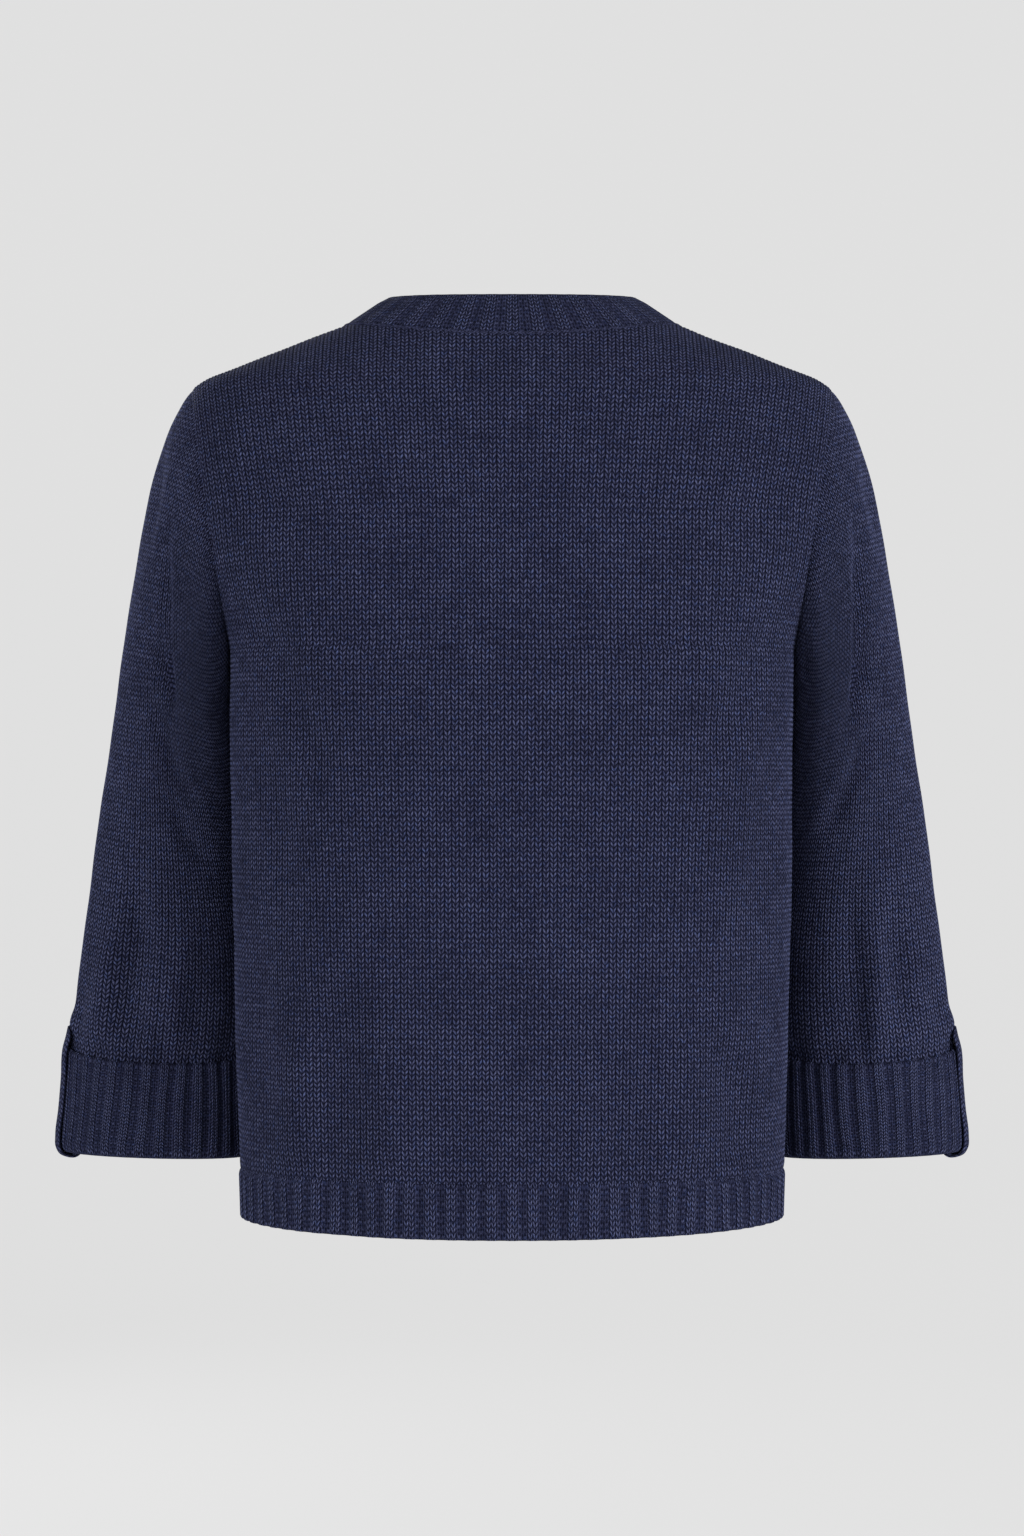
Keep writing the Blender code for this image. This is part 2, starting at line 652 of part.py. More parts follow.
def make_sleeve(name, flip):
    half = math.pi * (1 - np.array(YOKE_STEPS[::-1]))
    turn = np.concatenate((half, (math.pi,), 2 * math.pi - half[:0:-1]))
    grid = np.array([sleeve_surface(turn, share) for share in SLEEVE_SHARES])
    normal = grid_normals(grid, around=True)
    centre = grid.mean(axis=1, keepdims=True)
    facing = np.sign(np.sum(normal * (grid - centre), axis=-1, keepdims=True).mean())
    normal = normal * facing
    seam = grid[0]
    side = np.where(np.sin(turn) >= 0, 1, -1)
    body = body_normal(seam[:, 0], seam[:, 1], seam[:, 2], side)
    share_body = smooth_step(-0.75, -0.1, np.cos(turn))[:, None]
    normal[0] = normal[0] * (1 - share_body) + body * share_body
    normal[0] /= np.linalg.norm(normal[0], axis=-1, keepdims=True)
    outer = pull_in(grid, columns=False)
    inner = pull_in(grid - normal * WALL, columns=False)
    wall(name, mirrored(outer, flip), mirrored(inner, flip), around=True)


def make_cuff(name, flip):
    turn = np.linspace(0, 2 * math.pi, 2 * CUFF_RIBS, endpoint=False)
    wave = (np.arange(2 * CUFF_RIBS) % 2) * RIB_RAISE
    rows = []
    for point in CUFF_SECTION:
        ring = cuff_surface(turn, point.share, 0.0)
        lifted = cuff_surface(turn, point.share, 1.0) - ring
        row = ring + lifted * (point.out + wave * point.raised)[:, None]
        row[:, 2] += point.rise
        rows.append(row)
    ring_solid(name, mirrored(np.array(rows), flip))


def make_tab(name, flip):
    line = np.array([(point.x, point.level) for point in TAB_LINE])
    along = np.gradient(line, axis=0)
    along /= np.linalg.norm(along, axis=-1, keepdims=True)
    out = np.stack((-along[:, 1], along[:, 0]), axis=-1) * TAB_THICKNESS / 2
    widths = np.array((-1.0, 0.0, 1.0)) * TAB_HALF_WIDTH
    faces = []
    for offset in (out, -out):
        moved = line + offset
        rows = [[(x, CUFF_FORWARD + width, level) for width in widths] for x, level in moved]
        faces.append(mirrored(np.array(rows), flip))
    wall(name, *faces)


def make_sleeves():
    for word, flip in (("left", False), ("right", True)):
        make_sleeve("sleeve_" + word, flip)
        make_cuff("cuff_" + word, flip)
        make_tab("tab_" + word, flip)


for old in list(bpy.data.objects):
    bpy.data.objects.remove(old)
COLLECTION = bpy.data.collections.new("Cardigan")
bpy.context.scene.collection.children.link(COLLECTION)
make_body()
make_hems()
make_neckband()
make_band("band_left", LAP_UNDER)
make_buttons(*make_band("band_right", LAP_OVER))
make_sleeves()
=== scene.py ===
import math
from collections import namedtuple

import bmesh
import bpy
import numpy as np
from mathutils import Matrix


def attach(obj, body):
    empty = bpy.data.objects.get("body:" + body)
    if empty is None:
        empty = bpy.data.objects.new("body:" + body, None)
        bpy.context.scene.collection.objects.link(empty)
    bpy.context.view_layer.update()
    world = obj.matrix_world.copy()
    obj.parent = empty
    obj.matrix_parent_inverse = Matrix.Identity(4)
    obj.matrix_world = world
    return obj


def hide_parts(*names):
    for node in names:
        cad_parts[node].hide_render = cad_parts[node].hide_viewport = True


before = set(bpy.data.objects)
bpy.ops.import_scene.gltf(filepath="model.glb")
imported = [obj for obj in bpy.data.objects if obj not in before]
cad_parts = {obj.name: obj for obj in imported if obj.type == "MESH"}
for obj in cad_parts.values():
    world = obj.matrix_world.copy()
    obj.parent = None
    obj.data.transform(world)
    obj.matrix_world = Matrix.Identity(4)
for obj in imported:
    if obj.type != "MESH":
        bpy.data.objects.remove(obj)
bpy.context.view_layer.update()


def table(kind, rows):
    """Rows of numbers with their columns named."""
    return tuple(kind(*row) for row in rows)


# ---------------------------------------------------------------- sizes shared with the solids
WALL = 0.0024
NECK_HALF = 0.103
NECK_DROP_BACK = 0.011
NECK_DROP_FRONT = 0.075
NECK_FRONT_POWER = 1.3
SHOULDER_HALF = 0.197
SHOULDER_TIP = -0.0395
SHOULDER_SLOPE = 0.393
SHOULDER_TURN = 0.185
UNDERARM = -0.201
HEM_TOP = -0.519
HEM_BOTTOM = -0.5495
HEM_SWAY = 0.0030
ARM_MIDDLE = (SHOULDER_TIP + UNDERARM) / 2
ARM_HALF_HEIGHT = (SHOULDER_TIP - UNDERARM) / 2
ARM_BACK = 0.066
ARM_FRONT = 0.060
ARM_LEAN_POWER = 1.2
ARM_POINT_POWER = 1.3
CUFF_FORWARD = -0.060
SLEEVE_START = 0.0530
SLEEVE_END_SHARE = 0.71
SLEEVE_END_INWARD = 0.074
SLEEVE_END_BACKWARD = 0.060
SLEEVE_SWELL = 0.0045
CUFF_SEAM = 0.03
CUFF_INNER_TOP = 0.045
CUFF_RIBS = 32
NECKBAND_WIDTH = 0.0321
NECKBAND_IN_SIDE = 0.742
NECKBAND_IN_BACK = 0.745
NECKBAND_IN_FRONT = 0.800
NECKBAND_BLEND = 0.4
NECKBAND_RIBS = 40
HEM_RIBS_BACK = 38
HEM_RIBS_FRONT = 17
BAND_HALF = 0.016
BAND_RIBS = 3
LAP_OVER = 0.0024
LAP_UNDER = -0.0015
LAP_RAMP = 0.060
BUTTON_LEVELS = (-0.0615, -0.155, -0.2485, -0.342, -0.4355, -0.529)
TAB_HALF_WIDTH = 0.0125
TAB_THICKNESS = 0.0018

Torso = namedtuple("Torso", "level half_width back front power")
TORSO = table(Torso, (
    (-0.551, 0.1670, 0.1180, 0.1250, 2.30),
    (-0.450, 0.1700, 0.1175, 0.1240, 2.30),
    (-0.330, 0.1725, 0.1165, 0.1240, 2.38),
    (-0.201, 0.1740, 0.1150, 0.1260, 2.60),
    (-0.120, 0.1740, 0.1110, 0.1130, 2.60),
    (-0.075, 0.1740, 0.1040, 0.0970, 2.50),
    (-0.040, 0.1740, 0.0915, 0.0830, 2.40),
    (-0.011, 0.1740, 0.0730, 0.0700, 2.30),
    (0.000, 0.1740, 0.0650, 0.0640, 2.30),
))
TROUGH_FADE_LOW = 0.04
TROUGH_FADE_HIGH = 0.09
Trough = namedtuple("Trough", "side x low high depth half_width")
TROUGHS = table(Trough, (
    (1, 0.101, -0.570, -0.360, 0.0035, 0.016),
    (1, -0.070, -0.570, -0.420, 0.0018, 0.020),
    (-1, 0.094, -0.570, -0.330, 0.0035, 0.018),
    (-1, -0.098, -0.570, -0.350, 0.0030, 0.018),
))
Heading = namedtuple("Heading", "x y z")
HEADING_TOP = Heading(0.632, -0.020, -0.775)
HEADING_BEHIND = Heading(0.500, 0.020, -0.860)
HEADING_BEFORE = Heading(0.500, -0.120, -0.860)
HEADING_UNDER = Heading(0.050, -0.360, -0.930)
CuffRing = namedtuple("CuffRing", "centre across depth level")
CUFF_TOP = CuffRing(0.22365, 0.05515, 0.0360, -0.4518)
CUFF_FOLD = CuffRing(0.22585, 0.05735, 0.0370, -0.5172)
CUFF_TOP_TILT = 0.0023
CUFF_TOP_DIP = 0.006
CUFF_FOLD_TILT = 0.0016
TabPoint = namedtuple("TabPoint", "x level")
TAB_LINE = table(TabPoint, (
    (0.2806, -0.4360),
    (0.2820, -0.4425),
    (0.2840, -0.4500),
    (0.2853, -0.4700),
    (0.2869, -0.4890),
    (0.2888, -0.5060),
    (0.2886, -0.5125),
    (0.2864, -0.5165),
    (0.2825, -0.5180),
    (0.2785, -0.5178),
    (0.2758, -0.5155),
    (0.2750, -0.5110),
    (0.2750, -0.5000),
))

# ---------------------------------------------------------------- the knitting
WALE = 0.0045                # width of one column of stitches
COURSE = 0.0030              # height of one stitch
WALE_COLUMNS = 4             # mesh columns for each column of stitches
WALE_RELIEF = 0.00045        # height of a stitch's two legs over the line between columns
RIB_HEIGHT = 0.0017          # rise of a rib's two knit columns over its two purl columns
NECK_RIB_HEIGHT = 0.0008     # the neckband is stretched more, so its ribs are flatter
RIB_COLUMNS = 12             # mesh columns for each rib
SEAM_DEPTH = 0.0002          # how far an edge sinks into its seam
SEAM_REACH = 0.0024          # and how far from the seam the cloth starts to turn in
SEAM_FLATTENING = 0.5        # how much flatter the body's stitches are beside a seam
TIP_LEVEL = 0.0004           # the seam is filled out by this much at the tip of the shoulder
TIP_REACH = 0.0140           # and less and less over this distance from it

CREASE_SCALE = 1.9           # the creases' depths below are multiplied by this

# Creases of the cloth: each runs from one end to the other, as a trough of its depth, or a ridge
# where the depth is negative. On the body, across is x and up is the level.
Crease = namedtuple("Crease", "across_0 up_0 across_1 up_1 half_width depth")
BACK_CREASES = table(Crease, (
    (0.158, -0.176, 0.108, -0.290, 0.0130, 0.0022),
    (0.164, -0.205, 0.128, -0.372, 0.0120, 0.0016),
    (-0.160, -0.180, -0.116, -0.276, 0.0120, 0.0018),
    (-0.166, -0.214, -0.142, -0.400, 0.0125, 0.0017),
    (0.172, -0.095, 0.118, -0.128, 0.0160, 0.0016),
    (-0.174, -0.092, -0.128, -0.136, 0.0150, 0.0013),
    (0.074, -0.052, 0.026, -0.066, 0.0120, 0.0007),
    (-0.078, -0.050, -0.032, -0.063, 0.0120, 0.0008),
    (0.128, -0.425, 0.134, -0.530, 0.0110, -0.0016),
    (0.076, -0.440, 0.074, -0.528, 0.0120, -0.0014),
    (0.034, -0.476, 0.030, -0.530, 0.0100, 0.0011),
    (-0.012, -0.462, -0.015, -0.530, 0.0110, -0.0009),
    (-0.044, -0.450, -0.046, -0.530, 0.0120, -0.0012),
    (-0.100, -0.420, -0.106, -0.530, 0.0130, -0.0014),
    (-0.132, -0.436, -0.137, -0.530, 0.0120, 0.0020),
    (0.153, -0.350, 0.156, -0.500, 0.0100, 0.0014),
))
FRONT_LEFT_CREASES = table(Crease, (
    (0.160, -0.180, 0.102, -0.262, 0.0130, 0.0022),
    (0.166, -0.214, 0.126, -0.330, 0.0120, 0.0018),
    (0.022, -0.140, 0.052, -0.118, 0.0100, 0.0011),
    (0.024, -0.330, 0.060, -0.318, 0.0110, 0.0012),
    (0.136, -0.400, 0.142, -0.528, 0.0120, 0.0018),
    (0.060, -0.440, 0.058, -0.530, 0.0120, -0.0015),
    (0.118, -0.410, 0.121, -0.530, 0.0110, -0.0015),
))
FRONT_RIGHT_CREASES = table(Crease, (
    (-0.158, -0.178, -0.110, -0.284, 0.0130, 0.0020),
    (-0.166, -0.208, -0.134, -0.346, 0.0120, 0.0019),
    (-0.024, -0.232, -0.058, -0.216, 0.0110, 0.0012),
    (-0.024, -0.424, -0.050, -0.408, 0.0110, 0.0011),
    (-0.062, -0.430, -0.066, -0.530, 0.0120, -0.0014),
    (-0.140, -0.410, -0.146, -0.530, 0.0115, 0.0019),
))
# On a sleeve, across is the run round it from its outer line, positive behind, and up is the
# run along it from the cuff.
SLEEVE_LEFT_CREASES = table(Crease, (
    (0.058, 0.010, 0.052, 0.125, 0.0105, 0.0030),
    (0.036, 0.004, 0.034, 0.085, 0.0085, -0.0020),
    (0.082, 0.006, 0.086, 0.092, 0.0090, -0.0017),
    (0.016, 0.002, 0.014, 0.046, 0.0070, 0.0014),
    (0.104, 0.170, 0.060, 0.236, 0.0100, 0.0026),
    (0.112, 0.128, 0.072, 0.176, 0.0095, 0.0022),
    (0.100, 0.226, 0.046, 0.292, 0.0120, 0.0020),
    (0.094, 0.215, 0.072, 0.345, 0.0110, 0.0028),
    (-0.050, 0.008, -0.048, 0.104, 0.0100, 0.0024),
    (-0.090, 0.160, -0.040, 0.212, 0.0110, 0.0024),
    (-0.096, 0.206, -0.036, 0.250, 0.0105, 0.0020),
    (0.046, 0.325, 0.020, 0.398, 0.0120, 0.0014),
))
SLEEVE_RIGHT_CREASES = table(Crease, (
    (0.050, 0.012, 0.046, 0.104, 0.0105, 0.0022),
    (0.080, 0.004, 0.078, 0.120, 0.0090, 0.0020),
    (0.066, 0.006, 0.062, 0.096, 0.0080, -0.0016),
    (0.022, 0.002, 0.024, 0.060, 0.0080, 0.0013),
    (0.108, 0.152, 0.066, 0.214, 0.0100, 0.0024),
    (0.104, 0.212, 0.058, 0.268, 0.0110, 0.0022),
    (0.092, 0.222, 0.070, 0.350, 0.0115, 0.0030),
    (-0.056, 0.006, -0.052, 0.112, 0.0100, 0.0024),
    (-0.088, 0.172, -0.044, 0.228, 0.0110, 0.0023),
    (-0.094, 0.232, -0.040, 0.262, 0.0100, 0.0018),
    (0.040, 0.330, 0.016, 0.402, 0.0120, 0.0012),
))


# ---------------------------------------------------------------- the surfaces of the solids

def smooth_table(x, knots, values):
    """A smooth curve through a table's rows, held level beyond its ends."""
    knots = np.asarray(knots, float)
    values = np.asarray(values, float)
    slopes = np.gradient(values, knots)
    x = np.clip(x, knots[0], knots[-1])
    i = np.clip(np.searchsorted(knots, x) - 1, 0, len(knots) - 2)
    span = knots[i + 1] - knots[i]
    t = (x - knots[i]) / span
    start = (1 + 2 * t) * (1 - t) ** 2 * values[i] + t * (1 - t) ** 2 * span * slopes[i]
    end = t * t * (3 - 2 * t) * values[i + 1] - t * t * (1 - t) * span * slopes[i + 1]
    return start + end


def smooth_step(low, high, x):
    """0 below low, 1 above high, smooth between."""
    t = np.clip((x - low) / (high - low), 0, 1)
    return t * t * (3 - 2 * t)


def bell(x, width):
    """1 at 0, fading on both sides of it."""
    return np.exp(-(x / width) ** 2)


def torso_size(level, column):
    return smooth_table(level, [row.level for row in TORSO], [getattr(row, column) for row in TORSO])


def shoulder_ridge(x):
    """Level of the top of the shoulder, at a distance x from the midline."""
    turned = np.clip((x - SHOULDER_TURN) / (SHOULDER_HALF - SHOULDER_TURN), 0, 1)
    straight_tip = -SHOULDER_SLOPE * (SHOULDER_HALF - NECK_HALF)
    return -SHOULDER_SLOPE * (x - NECK_HALF) + (SHOULDER_TIP - straight_tip) * turned ** 2


RIDGE_X = np.linspace(SHOULDER_HALF, NECK_HALF, 80)
RIDGE_LEVELS = shoulder_ridge(RIDGE_X)


def armhole_x(level):
    """Distance of the armhole seam from the midline, at a level."""
    lift = np.clip((level - UNDERARM) / (SHOULDER_TIP - UNDERARM), 0, 1)
    underarm_half = torso_size(UNDERARM, "half_width")
    return underarm_half + (SHOULDER_HALF - underarm_half) * lift ** ARM_LEAN_POWER


def armhole_depth(level, side):
    """How far the armhole seam is behind or in front of the side seam, at a level."""
    height = np.clip((level - ARM_MIDDLE) / ARM_HALF_HEIGHT, -1, 1)
    point = np.where(height < 0, ARM_POINT_POWER, 1.0)
    return np.where(side > 0, ARM_BACK, ARM_FRONT) * (1 - height ** 2) ** (point / 2)


def body_depth(level, side):
    return np.where(side > 0, torso_size(level, "back"), torso_size(level, "front"))


def body_reach(level, side):
    """Half width of the body's section at a level; the armhole cuts its end off."""
    power = torso_size(level, "power")
    seam_share = (armhole_depth(level, side) / body_depth(level, side)) ** power
    through_armhole = armhole_x(level) / (1 - seam_share) ** (1 / power)
    over_shoulder = np.interp(level, RIDGE_LEVELS, RIDGE_X)
    above = np.where(level < SHOULDER_TIP, through_armhole, over_shoulder)
    return np.where(level <= UNDERARM, torso_size(level, "half_width"), above)


def body_normal(x, y, level, side):
    """Outward direction of the body's surface at a point on it."""
    step = 0.0002
    power = torso_size(level, "power")

    def fill(at):
        power_at = torso_size(at, "power")
        across = np.abs(x) / body_reach(at, side)
        return across ** power_at + (np.abs(y) / body_depth(at, side)) ** power_at

    normal = np.stack((
        np.sign(x) * power * np.abs(x) ** (power - 1) / body_reach(level, side) ** power,
        np.sign(y) * power * np.abs(y) ** (power - 1) / body_depth(level, side) ** power,
        (fill(level + step) - fill(level - step)) / (2 * step)), axis=-1)
    return normal / np.linalg.norm(normal, axis=-1, keepdims=True)


def lap(x, side):
    """How far the closure moves the front out or in, towards the midline."""
    fade = 1 - smooth_step(BAND_HALF, LAP_RAMP, np.abs(x))
    return np.where(side > 0, 0.0, np.where(x < 0, LAP_OVER, LAP_UNDER) * fade)


def troughs(x, level, side):
    """Depth of the soft vertical folds that the solids have too."""
    total = np.zeros_like(x + level)
    for fold in TROUGHS:
        begun = smooth_step(fold.low, fold.low + TROUGH_FADE_LOW, level)
        ended = smooth_step(fold.high - TROUGH_FADE_HIGH, fold.high, level)
        across = bell(x - fold.x, fold.half_width)
        total = total + np.where(side == fold.side, fold.depth * begun * (1 - ended) * across, 0.0)
    return total


def body_surface(x, level, side, fold_lap=True):
    """Points of the body's outer face and its outward directions."""
    x, level = np.broadcast_arrays(np.asarray(x, float), np.asarray(level, float))
    power = torso_size(level, "power")
    inside = np.clip(1 - (np.abs(x) / body_reach(level, side)) ** power, 0, 1)
    y = side * body_depth(level, side) * inside ** (1 / power)
    normal = body_normal(x, y, level, side)
    out = -troughs(x, level, side)
    if fold_lap:
        out = out + lap(x, side)
    return np.stack((x, y, level), axis=-1) + normal * out[..., None], normal


def neck_seam(angle, side):
    """x and level of the neck seam; 0 is on the shoulder and 90 degrees is on the midline."""
    x = NECK_HALF * np.cos(angle)
    back = -NECK_DROP_BACK * np.sin(angle) ** 2
    front = -NECK_DROP_FRONT * np.abs(np.sin(angle)) ** NECK_FRONT_POWER
    return x, np.where(side > 0, back, front)


def neck_ring(turn, fold_lap=True):
    """Points of the neck seam for a turn from the wearer's left side, round behind the neck."""
    angle = np.arctan2(np.abs(np.sin(turn)), np.abs(np.cos(turn)))
    side = np.where(np.sin(turn) >= 0, 1, -1)
    x, level = neck_seam(angle, side)
    return body_surface(np.sign(np.cos(turn)) * x, level, side, fold_lap)


def neckband_surface(turn, share, fold_lap=True):
    """The neckband's outer face: share is 0 at the seam and 1 at its free edge."""
    base, seam_normal = neck_ring(turn, fold_lap)
    behind = smooth_step(-NECKBAND_BLEND, NECKBAND_BLEND, np.sin(turn))
    inward_y = NECKBAND_IN_FRONT + (NECKBAND_IN_BACK - NECKBAND_IN_FRONT) * behind
    inward = np.stack((np.full_like(turn, NECKBAND_IN_SIDE), inward_y), axis=-1)
    lean = base[..., :2] * (inward - 1)
    rise = np.sqrt(NECKBAND_WIDTH ** 2 - np.sum(lean ** 2, axis=-1))
    upward = np.concatenate((lean, rise[..., None]), axis=-1)
    return base + upward * share, seam_normal


def armhole(turn):
    """The armhole seam: 0 at the shoulder tip, 90 degrees behind, 180 at the underarm."""
    level = ARM_MIDDLE + ARM_HALF_HEIGHT * np.cos(turn)
    y = np.sign(np.sin(turn)) * armhole_depth(level, np.sin(turn))
    return np.stack((armhole_x(level), y, level), axis=-1)


def cuff_surface(turn, share, out):
    """Points round a cuff: share is 0 at its top edge and 1 at the fold."""
    centre = CUFF_TOP.centre + (CUFF_FOLD.centre - CUFF_TOP.centre) * share
    across = CUFF_TOP.across + (CUFF_FOLD.across - CUFF_TOP.across) * share + out
    depth = CUFF_TOP.depth + (CUFF_FOLD.depth - CUFF_TOP.depth) * share + out
    top = CUFF_TOP.level + CUFF_TOP_TILT * np.cos(turn) - CUFF_TOP_DIP * np.sin(turn)
    fold = CUFF_FOLD.level + CUFF_FOLD_TILT * np.cos(turn)
    level = top + (fold - top) * share
    x = centre + across * np.cos(turn)
    y = CUFF_FORWARD + depth * np.sin(turn)
    return np.stack((x, y, level), axis=-1)


def sleeve_start_direction(turn):
    """Where the cloth heads as it leaves the armhole, all round it."""
    heading = np.zeros(turn.shape + (3,))
    for towards, place in ((np.cos(turn), HEADING_TOP), (-np.cos(turn), HEADING_UNDER),
                           (np.sin(turn), HEADING_BEHIND), (-np.sin(turn), HEADING_BEFORE)):
        heading += np.clip(towards, 0, 1)[..., None] ** 2 * np.array(place)
    return heading / np.linalg.norm(heading, axis=-1, keepdims=True)


def sleeve_surface(turn, share):
    """The sleeve's outer face: share is 0 at the armhole and 1 where it meets the cuff."""
    start = armhole(turn)
    end = cuff_surface(turn, CUFF_SEAM, 0.0)
    ending = cuff_surface(turn, -1.0, 0.0) - end
    ending = ending / np.linalg.norm(ending, axis=-1, keepdims=True)
    length = np.linalg.norm(end - start, axis=-1, keepdims=True)
    outer = np.clip(np.cos(turn), 0, 1)
    ending[..., 0] -= SLEEVE_END_INWARD * outer
    ending[..., 1] += SLEEVE_END_BACKWARD
    first = start + sleeve_start_direction(turn) * SLEEVE_START
    second = end + ending * length * SLEEVE_END_SHARE
    share = np.asarray(share, float)[..., None]
    rest = 1 - share
    line = rest ** 3 * start + 3 * rest ** 2 * share * first
    line = line + 3 * rest * share ** 2 * second + share ** 3 * end
    line[..., 0] += SLEEVE_SWELL * outer * (share ** 4 * (1 - share ** 12))[..., 0]
    return line


def unit(vectors):
    return vectors / np.maximum(np.linalg.norm(vectors, axis=-1, keepdims=True), 1e-12)


def run_along(points, axis=0):
    """Length along a line of points, from its start."""
    steps = np.linalg.norm(np.diff(points, axis=axis), axis=-1)
    start = np.zeros_like(np.take(steps, [0], axis=axis))
    return np.concatenate((start, np.cumsum(steps, axis=axis)), axis=axis)


# ---------------------------------------------------------------- relief of the knitting

WALE_MIDDLE = 0.45           # height of the line between a stitch's two legs
RIB_RISE = (0.62, 1.25)      # columns of stitches over which a rib rises, and then falls
RIB_FALL = (2.75, 3.38)
RIB_LINE = 0.22              # depth of the line between a rib's two columns
RIB_LINE_WIDTH = 0.16
RECESS_BUMP = 0.10           # height of the purl stitches in the recess
RECESS_BUMP_WIDTH = 0.30
CREASE_BEGIN = (-0.12, 0.30)       # shares of a crease's length over which it deepens, and fades
CREASE_END = (0.62, 1.12)
CREASE_WANDER = 0.12         # how far its line strays, as a share of its half width
SLACK_SLOW = 0.00042
SLACK_QUICK = 0.00016


def wale_profile(wales):
    """Height of plain knitting across its columns: two legs with a shallow line between them."""
    away = np.abs(wales - np.floor(wales) - 0.5)
    legs = 1 - ((away - 0.25) / 0.25) ** 2
    middle = WALE_MIDDLE * np.clip(1 - away / 0.25, 0, 1)
    return legs + middle


def rib_profile(wales):
    """Height across a rib of four columns of stitches: the middle two are raised."""
    place = np.mod(wales, 4.0)
    plateau = smooth_step(*RIB_RISE, place) * (1 - smooth_step(*RIB_FALL, place))
    between_legs = bell(place - 2.0, RIB_LINE_WIDTH)
    in_recess = bell(np.minimum(place, 4 - place), RECESS_BUMP_WIDTH)
    return plateau * (1 - RIB_LINE * between_legs) + RECESS_BUMP * in_recess


def crease_depth(across, up, creases):
    """How far the creases push the cloth in at each point."""
    total = np.zeros_like(across)
    for crease in creases:
        run_x = crease.across_1 - crease.across_0
        run_z = crease.up_1 - crease.up_0
        length = math.hypot(run_x, run_z)
        along = ((across - crease.across_0) * run_x + (up - crease.up_0) * run_z) / length ** 2
        wander = CREASE_WANDER * crease.half_width * np.sin(along * 7.0 + crease.half_width * 900)
        off = ((up - crease.up_0) * run_x - (across - crease.across_0) * run_z) / length + wander
        fade = smooth_step(*CREASE_BEGIN, along) * (1 - smooth_step(*CREASE_END, along))
        total = total + CREASE_SCALE * crease.depth * fade * bell(off, crease.half_width)
    return total


def slackness(across, up):
    """Slight unevenness that all the cloth has."""
    slow = np.sin(across * 61 + 1.3 * np.sin(up * 23)) * np.sin(up * 34 + 0.8)
    quick = np.sin(across * 137 + up * 41) * np.sin(up * 112 - across * 29 + 2.1)
    return SLACK_SLOW * slow + SLACK_QUICK * quick


# ---------------------------------------------------------------- meshes

INSIDE_STEP = 4              # the plain inside has a vertex for this many outside
SHARP_ANGLE = math.radians(40)
WELD = 0.000004              # points nearer than this are one
TINY_EDGE = 0.000002
# Where the parts of a cloth's wall lie up its bake layout, which they fill from side to side.
LAYOUT_FILL = (0.002, 0.998)
LAYOUT_OUTSIDE = (0.002, 0.600)
LAYOUT_INSIDE = (0.660, 0.998)
LAYOUT_ENDS = (0.606, 0.618)
LAYOUT_SIDES = (0.630, 0.642)
LAYOUT_EDGE_HEIGHT = 0.006


def add_object(name, data):
    """Puts a mesh, curve, camera or lamp into the scene."""
    made = bpy.data.objects.new(name, data)
    bpy.context.scene.collection.objects.link(made)
    return made


def smooth_object(name, mesh):
    mesh.shade_smooth()
    mesh.set_sharp_from_angle(angle=SHARP_ANGLE)
    return add_object(name, mesh)


def finish_mesh(name, points, faces, bake, knit, inside_faces, materials):
    """Makes the object: welds doubled points, gives each corner its two sets of coordinates."""
    mesh = bpy.data.meshes.new(name)
    mesh.from_pydata(points.tolist(), [], faces)
    corners = np.zeros(len(mesh.loops), int)
    mesh.loops.foreach_get("vertex_index", corners)
    for word, places in (("OFBake", bake), ("Knit", knit[corners])):
        mesh.uv_layers.new(name=word).data.foreach_set("uv", places.astype(np.float32).ravel())
    for material in materials:
        mesh.materials.append(material)
    slots = np.zeros(len(mesh.polygons), np.int32)
    slots[inside_faces] = len(materials) - 1
    mesh.polygons.foreach_set("material_index", slots)
    shell = bmesh.new()
    shell.from_mesh(mesh)
    bmesh.ops.remove_doubles(shell, verts=shell.verts, dist=WELD)
    bmesh.ops.dissolve_degenerate(shell, edges=shell.edges, dist=TINY_EDGE)
    bmesh.ops.recalc_face_normals(shell, faces=shell.faces)
    if shell.calc_volume(signed=True) < 0:
        bmesh.ops.reverse_faces(shell, faces=shell.faces)
    shell.to_mesh(mesh)
    shell.free()
    return smooth_object(name, mesh)


def corners_of(grid):
    """The four corners of each cell of a grid."""
    return grid[:-1, :-1], grid[:-1, 1:], grid[1:, 1:], grid[1:, :-1]


def quads(at, layout_up):
    """Faces of a grid of point numbers, and where their corners lie in the bake layout."""
    rows, columns = at.shape
    faces = np.stack([corner.ravel() for corner in corners_of(at)], axis=1).tolist()
    layout = np.meshgrid(np.linspace(*LAYOUT_FILL, columns), np.linspace(*layout_up, rows))
    places = corners_of(np.stack(layout, axis=-1))
    return faces, np.stack([place.reshape(-1, 2) for place in places], axis=1).reshape(-1, 2)


def picked_places(count):
    """Every few places along an edge, always with the last."""
    return sorted(set(range(0, count, INSIDE_STEP)) | {count - 1})


def edge_strip(out_line, in_line, picked, low):
    """Faces from a fine outer line to a coarse inner one, and their places in the layout."""
    count = len(out_line) - 1
    faces = []
    bake = []
    for i, (first, last) in enumerate(zip(picked[:-1], picked[1:])):
        fine = range(last, first - 1, -1)
        faces.append([int(in_line[i]), int(in_line[i + 1])] + [int(out_line[k]) for k in fine])
        shares = [0.01 + 0.98 * k / count for k in fine]
        bake += [(shares[-1], low), (shares[0], low)]
        bake += [(share, low + LAYOUT_EDGE_HEIGHT) for share in shares]
    return faces, bake


